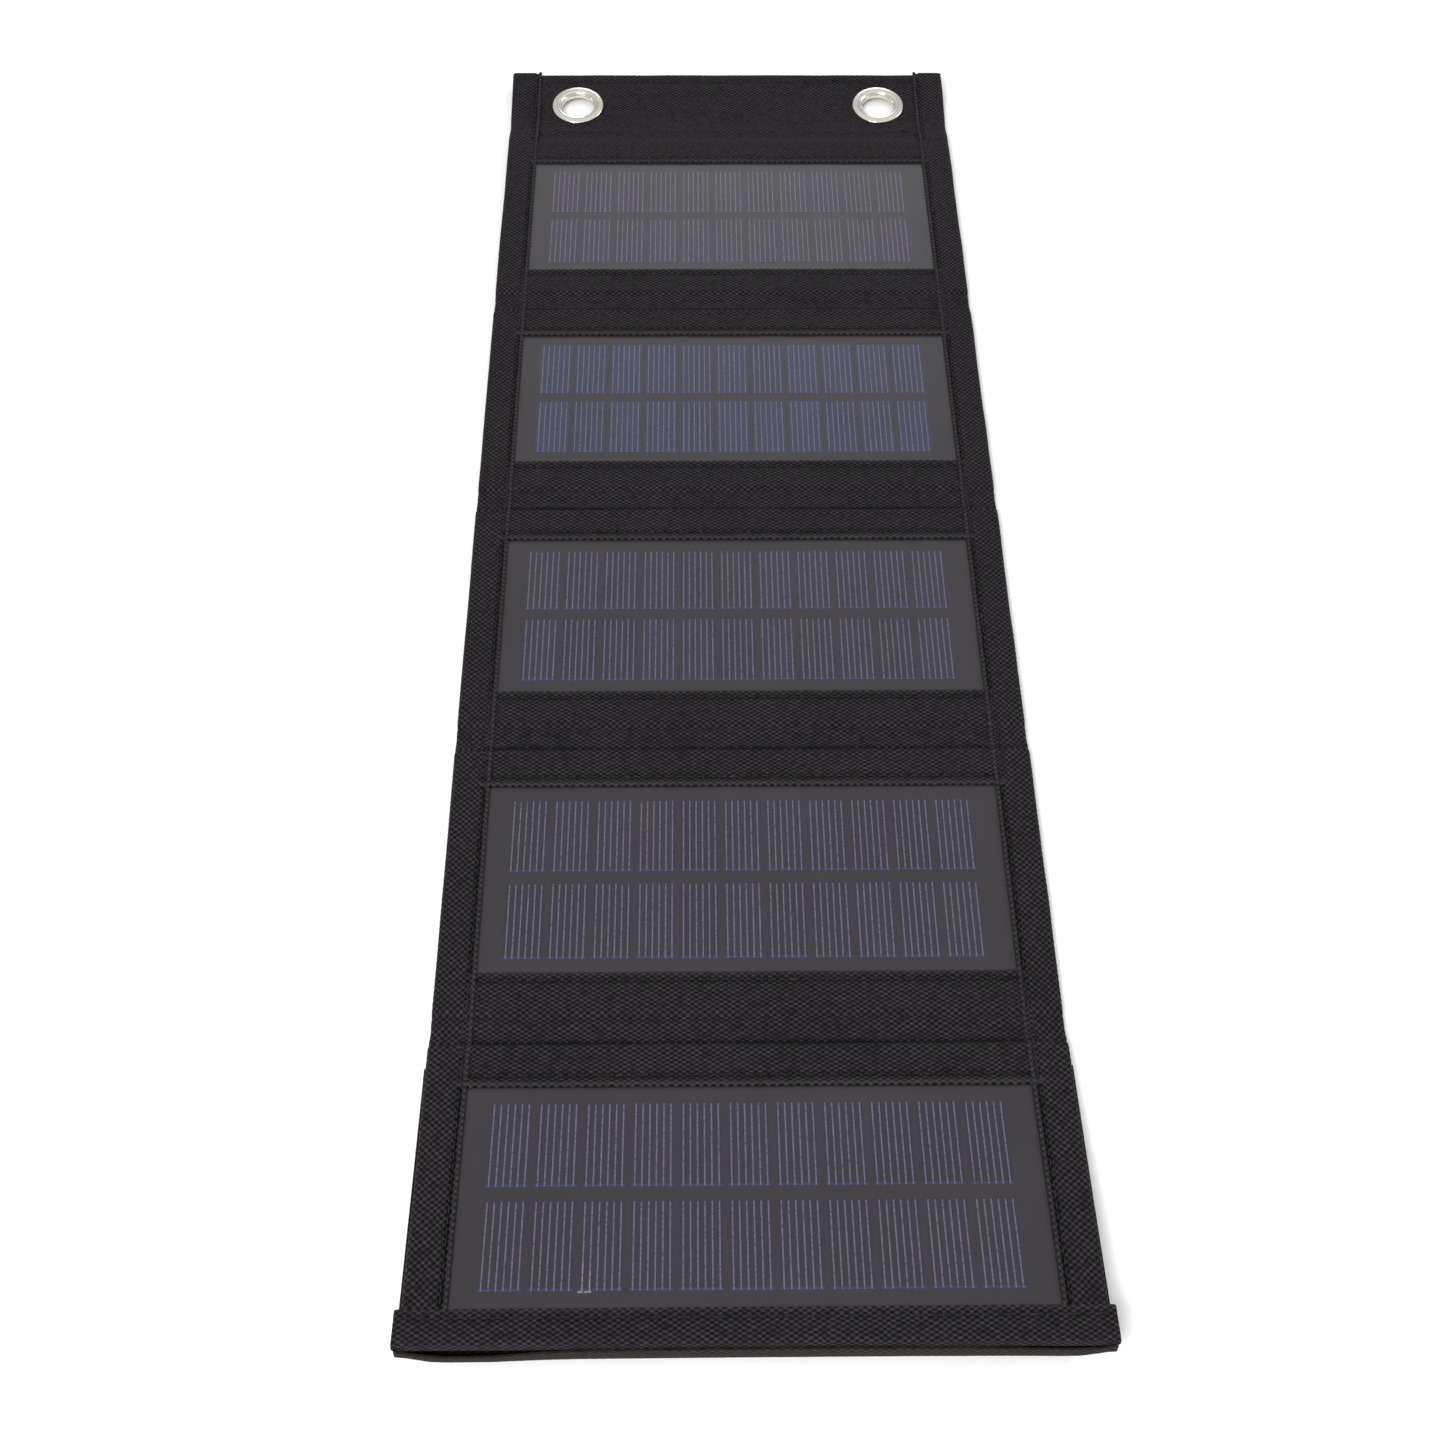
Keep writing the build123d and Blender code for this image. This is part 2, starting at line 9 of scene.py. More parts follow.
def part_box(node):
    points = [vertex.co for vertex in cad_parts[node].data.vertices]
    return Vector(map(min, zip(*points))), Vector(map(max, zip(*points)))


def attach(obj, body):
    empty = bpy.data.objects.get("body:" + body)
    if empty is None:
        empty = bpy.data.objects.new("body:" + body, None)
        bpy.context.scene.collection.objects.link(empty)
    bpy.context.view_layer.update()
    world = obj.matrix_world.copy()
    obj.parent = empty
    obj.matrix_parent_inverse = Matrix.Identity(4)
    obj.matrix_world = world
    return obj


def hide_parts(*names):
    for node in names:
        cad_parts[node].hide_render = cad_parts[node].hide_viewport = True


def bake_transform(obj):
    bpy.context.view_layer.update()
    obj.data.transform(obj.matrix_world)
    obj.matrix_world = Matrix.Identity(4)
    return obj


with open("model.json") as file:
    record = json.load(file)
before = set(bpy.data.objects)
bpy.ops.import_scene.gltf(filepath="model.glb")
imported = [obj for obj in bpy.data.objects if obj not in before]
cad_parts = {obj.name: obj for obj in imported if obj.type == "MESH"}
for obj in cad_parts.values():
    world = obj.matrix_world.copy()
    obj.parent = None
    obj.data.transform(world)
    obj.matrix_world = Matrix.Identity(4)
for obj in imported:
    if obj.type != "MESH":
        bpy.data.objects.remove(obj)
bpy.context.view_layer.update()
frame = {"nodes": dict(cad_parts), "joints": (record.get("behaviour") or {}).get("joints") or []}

# ---- Where the boards, the cloth between them and the fold lines lie ----
# A folding solar charger, open on a table: five stiff boards sewn into one length of cloth, and a
# hanging flap.  All lengths are millimetres, laid out flat first.  The last board rests on the
# regulator in its pocket, so everything on its side is leaned about its fold line at the end.
PANELS = 5
GAPS = (5, 4, 3, 2)            # each gap named by the panel below it


def corners(node):
    """A CAD node's lowest and highest corners, in millimetres."""
    low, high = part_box(node)
    return np.array(low) * 1000, np.array(high) * 1000


window_bottom = {k: corners(f"panel_{k}_bottom_strip")[1][1] for k in range(1, PANELS)}
window_top = {k: corners(f"panel_{k}_top_strip")[0][1] for k in range(1, PANELS)}
pitch = window_bottom[3] - window_bottom[4]
window_bottom[5] = window_bottom[4] - pitch
window_top[5] = window_top[4] - pitch
gap_length = window_bottom[3] - window_top[4]
middle = {k: (window_bottom[k] + window_top[k]) / 2 for k in window_top}

window_side = corners("panel_3_top_strip")[1][0]
tape_side = corners("panel_3_bindings")[1][0]
film_low, film_high = corners("panel_3_film")
strip_z = corners("panel_3_top_strip")[1][2]
tape_z = corners("panel_3_bindings")[1][2]
fold = {joint["name"]: np.array(joint["pos_m"]) * 1000 for joint in frame["joints"]}
flap_end = corners("flap_front_cloth")[1][1]

film_length, film_depth = (film_high - film_low)[1:]
tilted_length, tilted_depth = (corners("panel_5_film")[1] - corners("panel_5_film")[0])[1:]
lean = math.asin(
    (film_length * tilted_depth - film_depth * tilted_length) / (film_length**2 - film_depth**2)
)
FOLD_EASE = 5.5                # cloth bends over this much each side of a fold line
eyelet_low, eyelet_high = corners("eyelets")
eyelet_y = (eyelet_low[1] + eyelet_high[1]) / 2
FLANGE_R = 10.5
FLAP_TILT = math.radians(8)    # flap tipped up from the front of its eyelets
FLAP_BEND = 3.0                # length of the soft bend there
FLAP_DRAWN = 2.2               # flap's end drawn in by its wrinkles


def joined(*parts):
    """Coordinates side by side, on a new last axis."""
    return np.stack(parts, axis=-1)


def smooth(value):
    """0 below 0, 1 above 1, and an S curve between."""
    value = np.clip(value, 0, 1)
    return value * value * (3 - 2 * value)


def tip_flap(y):
    """How much the flap is drawn in and raised: an S curve from its fold to its end, and half the
    sum of the distance past the bend and its hypotenuse with the bend's length, times the slope."""
    fold_y = fold["flap_fold"][1]
    drawn = FLAP_DRAWN * smooth((y - fold_y) / (flap_end - fold_y))
    past = y - eyelet_y + FLANGE_R
    return drawn, math.tan(FLAP_TILT) * (past + np.hypot(past, FLAP_BEND)) / 2


def settle(points):
    """Tip the flap up, and turn points about the last fold line by the lean, times an S curve that
    falls from 1 on the last panel's side to 0 on the other side of the fold."""
    fold_y, fold_z = fold["fold_4_5"][1:]
    turn = lean * (1 - smooth((points[..., 1] - fold_y + FOLD_EASE) / (2 * FOLD_EASE)))
    drawn, raised = tip_flap(points[..., 1])
    y, z = points[..., 1] - drawn - fold_y, points[..., 2] + raised - fold_z
    turned_y = fold_y + y * np.cos(turn) + z * np.sin(turn)
    turned_z = fold_z - y * np.sin(turn) + z * np.cos(turn)
    return joined(points[..., 0], turned_y, turned_z)


# ---- Panel faces ----
# Each board's face is a dark glass-fibre laminate under a satin clear polymer film, pressed in one
# go, so the film follows the board and is flat to a few hundredths of a millimetre.
FACE_STEP = 2.0
FACE_WAVE = 0.03


def ripples(x, y, size, seed):
    """Uneven waves about size across, from -1 to 1: a sum of six sines of fixed directions."""
    draw = np.random.default_rng(seed)
    total = 0.0
    for _ in range(6):
        angle, phase = draw.uniform(0, 2 * math.pi, 2)
        step = 2 * math.pi / (size * draw.uniform(0.6, 1.6))
        total = total + np.sin((x * math.cos(angle) + y * math.sin(angle)) * step + phase)
    return total / 6


def mesh_object(name, material, points, quads, uv=None, sharp=40, wear_and_painted_shading=None):
    """A mesh from points in millimetres and quads of point numbers, with a UV value in metres and
    an amount of wear and painted shading for every point, smooth but for edges sharper than the angle."""
    mesh = bpy.data.meshes.new(name)
    mesh.materials.append(material)
    used, quads = np.unique(quads, return_inverse=True)
    quads = quads.reshape(-1, 4)
    mesh.vertices.add(len(used))
    mesh.vertices.foreach_set("co", (points.reshape(-1, 3)[used] / 1000).ravel())
    mesh.loops.add(quads.size)
    mesh.loops.foreach_set("vertex_index", quads.ravel())
    mesh.polygons.add(len(quads))
    mesh.polygons.foreach_set("loop_start", np.arange(0, quads.size, 4))
    mesh.update(calc_edges=True)
    mesh.validate()
    mesh.polygons.foreach_set("use_smooth", np.ones(len(quads), bool))
    mesh.set_sharp_from_angle(angle=math.radians(sharp))
    if uv is not None:
        layer = mesh.uv_layers.new(name="surface")
        layer.data.foreach_set("uv", (uv.reshape(-1, 2)[used][quads.ravel()] / 1000).ravel())
    # This point attribute holds the cloth's painted highlight on rolled edges and painted shade in seams
    # and creases.
    if wear_and_painted_shading is not None:
        worn = mesh.attributes.new(name="wear_and_painted_shading", type="FLOAT", domain="POINT")
        worn.data.foreach_set("value", wear_and_painted_shading.ravel()[used])
    made = bpy.data.objects.new(name, mesh)
    bpy.context.scene.collection.objects.link(made)
    return made


def closed_sheet(name, material, face, back, uv, keep=None, wear_and_painted_shading=None):
    """A closed shell from a grid of face points and the same grid behind it.  Squares of the grid
    that keep leaves out are holes, and walls close every edge that only one square has."""
    rows, columns = face.shape[:2]
    number = np.arange(rows * columns).reshape(rows, columns)
    around = (number[:-1, :-1], number[:-1, 1:], number[1:, 1:], number[1:, :-1])
    front = joined(*around)
    front = front.reshape(-1, 4) if keep is None else front[keep]
    start, end = front.ravel(), np.roll(front, -1, axis=1).ravel()
    total = rows * columns
    border = ~np.isin(start * total + end, end * total + start)
    start, end = start[border], end[border]
    walls = joined(start, start + total, end + total, end)
    quads = np.concatenate([front, front[:, ::-1] + total, walls])
    both = np.concatenate([face.reshape(-1, 3), back.reshape(-1, 3)])
    wear_and_painted_shading = None if wear_and_painted_shading is None else np.concatenate([wear_and_painted_shading.ravel()] * 2)
    uv = np.concatenate([uv.reshape(-1, 2)] * 2)
    return mesh_object(name, material, both, quads, uv, wear_and_painted_shading=wear_and_painted_shading)


def evenly(start, end, step):
    """Numbers from start to end, about step apart."""
    return np.linspace(start, end, max(2, round(abs(end - start) / step) + 1))


def linear(colour):
    """A hex sRGB colour as the linear values that a shader takes."""
    parts = [int(colour[i:i + 2], 16) / 255 for i in (1, 3, 5)]
    return [p / 12.92 if p <= 0.04045 else ((p + 0.055) / 1.055) ** 2.4 for p in parts] + [1.0]


def add(material, kind, inputs, **settings):
    """One shader node: its inputs, by name or number, are set, or linked to a socket or to a node's
    first output, and settings are its properties."""
    node = material.node_tree.nodes.new("ShaderNode" + kind)
    for key, value in settings.items():
        setattr(node, key, value)
    for key, value in inputs.items():
        if isinstance(value, bpy.types.Node):
            value = value.outputs[0]
        if isinstance(value, bpy.types.NodeSocket):
            material.node_tree.links.new(value, node.inputs[key])
        else:
            node.inputs[key].default_value = value
    return node


def new_material(name):
    """An empty material and its output node."""
    material = bpy.data.materials.new(name)
    material.use_nodes = True
    material.node_tree.nodes.clear()
    return material, add(material, "OutputMaterial", {})


def finish_material(material, output, inputs):
    """The material with a shader of these inputs linked to its output."""
    shader = add(material, "BsdfPrincipled", inputs)
    material.node_tree.links.new(shader.outputs["BSDF"], output.inputs["Surface"])
    return material


def satin_film():
    """Satin PET film over black glass-fibre laminate: a soft grey sheen from a fine moulded grain
    of about 0.25 mm, slightly cloudy over some centimetres, and black underneath."""
    material, output = new_material("satin_pet_film_on_black_laminate")
    place = add(material, "TexCoord", {}).outputs["Object"]
    grain = add(material, "TexNoise", {"Vector": place, "Scale": 4000.0, "Detail": 2.0})
    cloud = add(material, "TexNoise", {"Vector": place, "Scale": 35.0, "Detail": 3.0})
    colour = add(
        material, "Mix", {0: cloud, 6: linear("#1b171d"), 7: linear("#221e24")}, data_type="RGBA"
    )
    gloss = add(material, "MapRange", {0: cloud, 3: 0.34, 4: 0.46})
    bump = add(material, "Bump", {"Height": grain, "Strength": 0.25, "Distance": 0.00003})
    return finish_material(material, output, {
        "Base Color": colour.outputs[2], "Roughness": gloss, "IOR": 1.57, "Normal": bump,
    })


film_material = satin_film()
for k in range(1, PANELS + 1):
    along = evenly(film_low[1], film_high[1], FACE_STEP) - (k - 3) * pitch
    across = evenly(film_low[0], film_high[0], FACE_STEP)
    y, x = np.meshgrid(along, across, indexing="ij")
    wave = FACE_WAVE * ripples(x, y, 45, 100 + k)
    face = joined(x, y, film_high[2] + wave)
    back = joined(x, y, film_low[2] + 0 * wave)
    piece = closed_sheet(f"panel_{k}_face", film_material, settle(face), settle(back), joined(x, y))
    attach(piece, f"panel_{k}")
    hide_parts(f"panel_{k}_film")

# ---- Solar cells and their silver fingers ----
# Two rows of eleven silicon strips cut from wafers, with six screen-printed silver fingers each.
# They lie just under the film and press it up by a few hundredths, so they share its satin gloss.
COLUMNS, ROWS = 11, 2
CELL_W, CELL_H = 11.4, 26.6
CELL_PROUD = 0.03
FINGERS = 6
FINGER_PITCH = 1.9
FINGER_W = 0.4
FINGER_PROUD = 0.05
FINGER_INSET = 0.35
JOINT_W, JOINT_H = 3.7, 0.6    # solder joint at the foot of a cell
JOINT_SHIFT = -0.3             # joint's end past the cell's left edge
TINNED_L = 8.0                 # tin carried up the two fingers beside it


def plates(x0, x1, y0, y1, z0, z1):
    """Blocks between opposite corners, as points and quads: every input is an array."""
    low, high = joined(x0, y0, z0), joined(x1, y1, z1)
    pick = np.array([[i & 1, i >> 1 & 1, i >> 2] for i in range(8)])
    points = np.where(pick[None] == 1, high[:, None], low[:, None])
    sides = [(0, 2, 3, 1), (4, 5, 7, 6), (0, 1, 5, 4), (1, 3, 7, 5), (3, 2, 6, 7), (2, 0, 4, 6)]
    quads = np.array(sides)[None] + 8 * np.arange(len(low))[:, None, None]
    return points, quads.reshape(-1, 4)


def cell_corners(k):
    """Lower left corners of the panel's cells, by row and column."""
    low, high = corners("panel_3_cells")
    step_x = (high[0] - low[0] - CELL_W) / (COLUMNS - 1)
    step_y = high[1] - low[1] - CELL_H
    column, row = np.meshgrid(np.arange(COLUMNS), np.arange(ROWS))
    x = low[0] + column.ravel() * step_x
    y = low[1] + row.ravel() * step_y - (k - 3) * pitch
    return x, y


def silicon_cell():
    """Silicon with a blue nitride coat under satin film: violet grey, a little different from cell
    to cell and with a painted reflection in each panel's tint, with fine crystal mottling of about
    1 mm and a bluer band along the cut lower edge."""
    material, output = new_material("nitride_coated_silicon_under_film")
    place = add(material, "TexCoord", {})
    tint_and_painted_reflection = add(material, "Attribute", {}, attribute_name="tint_and_painted_reflection")
    crystal = add(material, "TexVoronoi", {"Vector": place.outputs["Object"], "Scale": 700.0})
    mottle = add(material, "MapRange", {0: crystal, 3: 0.88, 4: 1.12})
    body = add(material, "VectorMath", {0: tint_and_painted_reflection, "Scale": mottle}, operation="SCALE")
    part = add(material, "SeparateXYZ", {0: place.outputs["UV"]})
    foot = add(material, "Math", {0: part.outputs[1], 1: 0.0007}, operation="LESS_THAN")
    colour = add(material, "Mix", {0: foot, 6: body, 7: linear("#222650")}, data_type="RGBA")
    grain = add(material, "TexNoise", {"Vector": place.outputs["Object"], "Scale": 4000.0})
    bump = add(material, "Bump", {"Height": grain, "Strength": 0.25, "Distance": 0.00003})
    return finish_material(material, output, {
        "Base Color": colour.outputs[2], "Roughness": 0.4, "IOR": 1.57, "Normal": bump,
    })


def silver_fingers(name, thin, thick):
    """Screen-printed silver paste, or solder, under the film: pale grey, thin in places because the
    paste breaks up over about half a millimetre."""
    material, output = new_material(name)
    place = add(material, "TexCoord", {}).outputs["Object"]
    broken = add(material, "TexNoise", {"Vector": place, "Scale": 1300.0, "Detail": 1.0})
    solid = add(material, "MapRange", {0: broken, 1: 0.26, 2: 0.52})
    colour = add(material, "Mix", {0: solid, 6: linear(thin), 7: linear(thick)}, data_type="RGBA")
    return finish_material(material, output, {
        "Base Color": colour.outputs[2], "Roughness": 0.42, "IOR": 1.57,
    })


cell_material = silicon_cell()
finger_material = silver_fingers("printed_silver_paste_under_film", "#2d2839", "#585264")
solder_material = silver_fingers("tinned_joint_under_film", "#3d393a", "#716c69")
# Each panel's cell tint holds a painted reflection of how light falls at that panel; panel 1's is greyer
# for its grazing reflection.
CELL_TINTS_AND_PAINTED_REFLECTION = {1: "#1d1b26", 2: "#19213b", 3: "#1b1828", 4: "#1a1724", 5: "#191623"}
for k in range(1, PANELS + 1):
    x, y = cell_corners(k)
    top = film_high[2] + CELL_PROUD + 0 * x
    points, quads = plates(x, x + CELL_W, y, y + CELL_H, film_low[2] + 0 * x, top)
    local = points[..., :2] - joined(x, y)[:, None]
    piece = mesh_object(f"panel_{k}_cell_strips", cell_material, settle(points), quads, local)
    draw = np.random.default_rng(40 + k)
    shade = draw.uniform(0.85, 1.2, (len(x), 1)) * draw.uniform(0.94, 1.06, (len(x), 3))
    colour = np.ones((len(x), 8, 4))
    colour[..., :3] = (np.array(linear(CELL_TINTS_AND_PAINTED_REFLECTION[k])[:3]) * shade)[:, None]
    tint_and_painted_reflection = piece.data.color_attributes.new(name="tint_and_painted_reflection", type="FLOAT_COLOR", domain="POINT")
    tint_and_painted_reflection.data.foreach_set("color", colour.ravel())
    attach(piece, f"panel_{k}")
    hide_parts(f"panel_{k}_cells")

    offset = (np.arange(FINGERS) - (FINGERS - 1) / 2) * FINGER_PITCH
    finger_x = (x[:, None] + CELL_W / 2 + offset).ravel()
    finger_y = np.repeat(y, FINGERS)
    left, right = finger_x - FINGER_W / 2, finger_x + FINGER_W / 2
    foot, head = finger_y + 0 * left, finger_y + CELL_H - FINGER_INSET
    base, crest = film_high[2] - 0.1 + 0 * left, film_high[2] + FINGER_PROUD + 0 * left
    points, quads = plates(left, right, foot, head, base, crest)
    piece = mesh_object(f"panel_{k}_fingers", finger_material, settle(points), quads)
    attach(piece, f"panel_{k}")
    if k == PANELS:
        near = slice(2 * FINGERS, 2 * FINGERS + 2)
        joint_x = x[2] + JOINT_SHIFT
        left = np.append(left[near] + 0.03, joint_x)
        right = np.append(right[near] - 0.03, joint_x + JOINT_W)
        foot = np.array([y[2], y[2], y[2] - JOINT_H])
        head = np.array([y[2] + TINNED_L, y[2] + 0.7 * TINNED_L, y[2]])
        base = film_high[2] - 0.1 + 0 * left
        points, quads = plates(left, right, foot, head, base, base + FINGER_PROUD + 0.12)
        piece = mesh_object("panel_5_solder_joint", solder_material, settle(points), quads)
        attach(piece, "panel_5")

# ---- Front cloth across the gaps ----
# Black oxford cloth in a coarse basket weave crosses each gap between two boards.  Its edge over the
# lower window is folded under and stitched, and stands about 1 mm proud of the film.  The cloth is
# bent where the two boards end under it, 13 mm past each window, and lies slack between them.
CLOTH_T = 0.6
THREAD_X, THREAD_Y = 1.17, 0.78  # pairs of threads across and along the charger
WEAVE_STEP = THREAD_X / 2
WEAVE_DEPTH = 0.16
TUCK = 3.0                     # cloth under the side bindings
SEAM_LOW, SEAM_HIGH = 3.5, 3.0  # stitch rows in from the lower and upper edges
BEND_T = 14.3                  # first bend past the lower window
BEND_NEXT = 7.6                # second bend past the first
SAG = 0.9                      # cloth between the boards' ends, below the cloth on them
HEM_ROUND = 0.55
STITCH_STEP = 3.3


def weave(pairs):
    """Height of the basket weave, 0 to 1, from places in thread pairs: the product of the sines of
    both places is high where one set of threads lies on top, and low where the other does."""
    return (1 + np.sin(math.pi * pairs[..., 0]) * np.sin(math.pi * pairs[..., 1])) / 2


def normals(points):
    """Unit normals of a grid: its direction along the columns crossed with that along the rows."""
    row, column = np.gradient(points, axis=0), np.gradient(points, axis=1)
    normal = np.cross(column, row)
    return normal / np.linalg.norm(normal, axis=-1, keepdims=True)


def woven(
    name, material, surface, cloth, depth=WEAVE_DEPTH, back=None, keep=None,
    threads=(THREAD_X, THREAD_Y), wear_and_painted_shading=None
):
    """Cloth on a smooth surface, with the cloth's own measures at each point.  Its face rises and
    falls with the threads, and its back is one thickness behind, or where back says.  The UV map
    counts thousands of thread pairs.  The wear and painted shading is above 0 where rolled edges get
    a painted highlight, and below 0 where seams and creases get painted shade."""
    normal = normals(surface)
    x, y = cloth[..., 0], cloth[..., 1]
    uneven = joined(ripples(x, y, 7, 1), ripples(x, y, 7, 2))
    pairs = cloth / np.array(threads) + 0.3 * uneven
    face = surface + normal * (depth * (weave(pairs) - 0.5))[..., None]
    if back is None:
        back = surface - normal * CLOTH_T
    return closed_sheet(name, material, settle(face), settle(back), pairs, keep, wear_and_painted_shading)


def bell(value, centre, width):
    """A bell curve, 1 at its centre."""
    return np.exp(-(((value - centre) / width) ** 2))


# Bends across each gap: (place past the first, share of the wander, width, height).
BENDS = (
    (-1.4, 1, 1.5, 0.55), (0.8, 1, 0.75, -1.25), (4.0, 0, 2.8, -0.45),
    (BEND_NEXT, -1, 1.1, 0.42), (BEND_NEXT + 2.2, -1, 1.1, -0.5),
)


def creases(x, y):
    """Bends that cross a gap and its bindings: ridges where the boards end, and slack between."""
    rise = 0.0
    for lower in GAPS:
        t = y - window_top[lower]
        wander = 0.55 * ripples(x, 0 * x, 70, lower)
        uneven = 0.75 + 0.25 * ripples(x, 0 * x, 40, 10 + lower)
        for place, share, width, height in BENDS:
            rise = rise + uneven * height * bell(t, BEND_T + place + share * wander, width)
    return rise


def pinch(x, y, start, end, width, height):
    """A short wrinkle: a bell curve of the distance to a line, fading out towards both ends."""
    span = np.array(end, float) - np.array(start, float)
    length = math.hypot(*span)
    run = ((x - start[0]) * span[0] + (y - start[1]) * span[1]) / length
    off = ((x - start[0]) * span[1] - (y - start[1]) * span[0]) / length
    return height * bell(off, 0, width) * bell(run / length, 0.5, 0.45)


# Short wrinkles in each gap: (start, end, width, height), from the middle and the lower window.
WRINKLES = {
    5: [((60, 15), (77, 27), 1.2, 0.5), ((62, 21), (77, 12), 1.0, 0.45),
        ((20, 17), (46, 20), 1.6, 0.3), ((-70, 16), (-52, 22), 1.4, 0.3)],
    4: [((-76, 12), (-58, 20), 1.2, 0.4), ((30, 15), (62, 19), 1.5, 0.3),
        ((66, 24), (77, 16), 1.0, 0.4)],
    3: [((-77, 14), (-60, 18), 1.1, 0.4), ((-30, 17), (8, 20), 1.6, 0.3)],
    2: [((58, 14), (76, 20), 1.2, 0.4), ((-60, 16), (-30, 19), 1.5, 0.3)],
}


def pucker(x, depth):
    """Cloth drawn in between stitches: from 1 down to 1 minus twice the depth."""
    return 1 - depth + depth * np.cos(2 * math.pi * x / STITCH_STEP)


def round_off(edge):
    """How far a folded edge falls: a quarter circle over the hem's rounding."""
    return 0.5 * (1 - np.sqrt(1 - np.clip(1 - edge / HEM_ROUND, 0, 1) ** 2))


def sag(t):
    """Depth of the cloth between the boards' ends: S curves down and up again over 3 mm."""
    return SAG * smooth((t - BEND_T) / 3) * smooth((gap_length - t - BEND_T + 1.5) / 3)


def gap_top(lower, x, y):
    """Height of the gap cloth: a folded hem, two stitched grooves, the bends, the wrinkles, and a
    sag between the boards' ends."""
    t = y - window_top[lower]
    far = gap_length - t
    rise = strip_z - film_high[2] + creases(x, y) + 0.08 * ripples(x, t, 15, 20 + lower)
    rise = rise + 0.34 * bell(t, 0.9, 1.1) + 0.12 * bell(far, 0.8, 0.9)
    rise = rise - sag(t)
    rise = rise - 0.26 * pucker(x, 0.25) * (bell(t, SEAM_LOW, 0.6) + bell(far, SEAM_HIGH, 0.6))
    for wrinkle in WRINKLES[lower]:
        rise = rise + pinch(x, t, *wrinkle)
    rise = rise - round_off(t) - round_off(far)
    under_tape = smooth((np.abs(x) - window_side) / 0.8)
    return film_high[2] + rise * (1 - 0.35 * under_tape)


def oxford_cloth(name, dark, light, rough, weave_bump):
    """Black polyester oxford: pairs of threads 1.17 mm and 0.78 mm wide lie over each other in turn,
    so the cloth is pebbled; the thread tops are painted lighter and the hollows between them painted
    dark as shade, with lint and slow fading."""
    material, output = new_material(name)
    place = add(material, "TexCoord", {})
    pair = add(
        material, "VectorMath", {0: place.outputs["UV"], "Scale": 1000 * math.pi}, operation="SCALE"
    )
    part = add(material, "SeparateXYZ", {0: pair})
    sines = [add(material, "Math", {0: part.outputs[i]}, operation="SINE") for i in (0, 1)]
    turn = add(material, "Math", {0: sines[0], 1: sines[1]}, operation="MULTIPLY")
    height = add(material, "Math", {0: turn, 1: 0.5, 2: 0.5}, operation="MULTIPLY_ADD")
    lint = add(
        material, "TexNoise",
        {"Vector": place.outputs["Object"], "Scale": 500.0, "Detail": 5.0, "Roughness": 0.75}
    )
    fade = add(material, "TexNoise", {"Vector": place.outputs["Object"], "Scale": 28.0, "Detail": 3.0})
    # Painted shade of the weave: thread tops painted lighter, the hollows between them painted dark.
    crest = add(material, "MapRange", {0: height, 1: 0.25, 2: 0.9})
    fuzz = add(material, "MapRange", {0: lint, 1: 0.3, 2: 0.7, 3: 0.1, 4: 0.9})
    lit = add(material, "Math", {0: crest, 1: fuzz}, operation="MULTIPLY")
    worn = add(material, "MapRange", {0: fade, 3: 1.2, 4: 2.2})
    amount = add(material, "Math", {0: lit, 1: worn}, operation="MULTIPLY", use_clamp=True)
    # The point attribute adds a painted highlight on rolled edges and painted shade in seams and creases.
    wear_and_painted_shading = add(material, "Attribute", {}, attribute_name="wear_and_painted_shading")
    lightness_with_painted_light = add(material, "Math", {0: amount, 1: wear_and_painted_shading.outputs["Fac"]}, operation="ADD", use_clamp=True)
    colour = add(material, "Mix", {0: lightness_with_painted_light, 6: linear(dark), 7: linear(light)}, data_type="RGBA")
    bump = add(material, "Bump", {"Height": height, "Strength": weave_bump, "Distance": 0.0004})
    return finish_material(material, output, {
        "Base Color": colour.outputs[2], "Roughness": rough, "IOR": 1.5, "Specular IOR Level": 0.08,
        "Sheen Weight": 0.012, "Sheen Roughness": 0.5, "Sheen Tint": linear("#c9bcba"), "Normal": bump,
    })


cloth_material = oxford_cloth("black_polyester_oxford_basket_weave", "#09080a", "#353135", 0.7, 0.6)


def across_fold(lower):
    """The fold above a panel: its mark in names, the body beyond it, and the ends of the bend, in
    metres."""
    mark, beyond, joint = "flap", "flap", "flap_fold"
    if lower > 1:
        mark = f"{lower - 1}_{lower}"
        beyond, joint = f"panel_{lower - 1}", f"fold_{mark}"
    place, ease = Vector(fold[joint] / 1000), Vector((0, FOLD_EASE / 1000, 0))
    return mark, beyond, place - ease, place + ease


def edged(start, end, step):
    """Grid places with a few close together at both edges, where a hem turns under."""
    close = np.array([0.0, 0.06, 0.2, 0.4])
    inside = evenly(start + WEAVE_STEP, end - WEAVE_STEP, step)
    return np.concatenate([start + close, inside, end - close[::-1]])


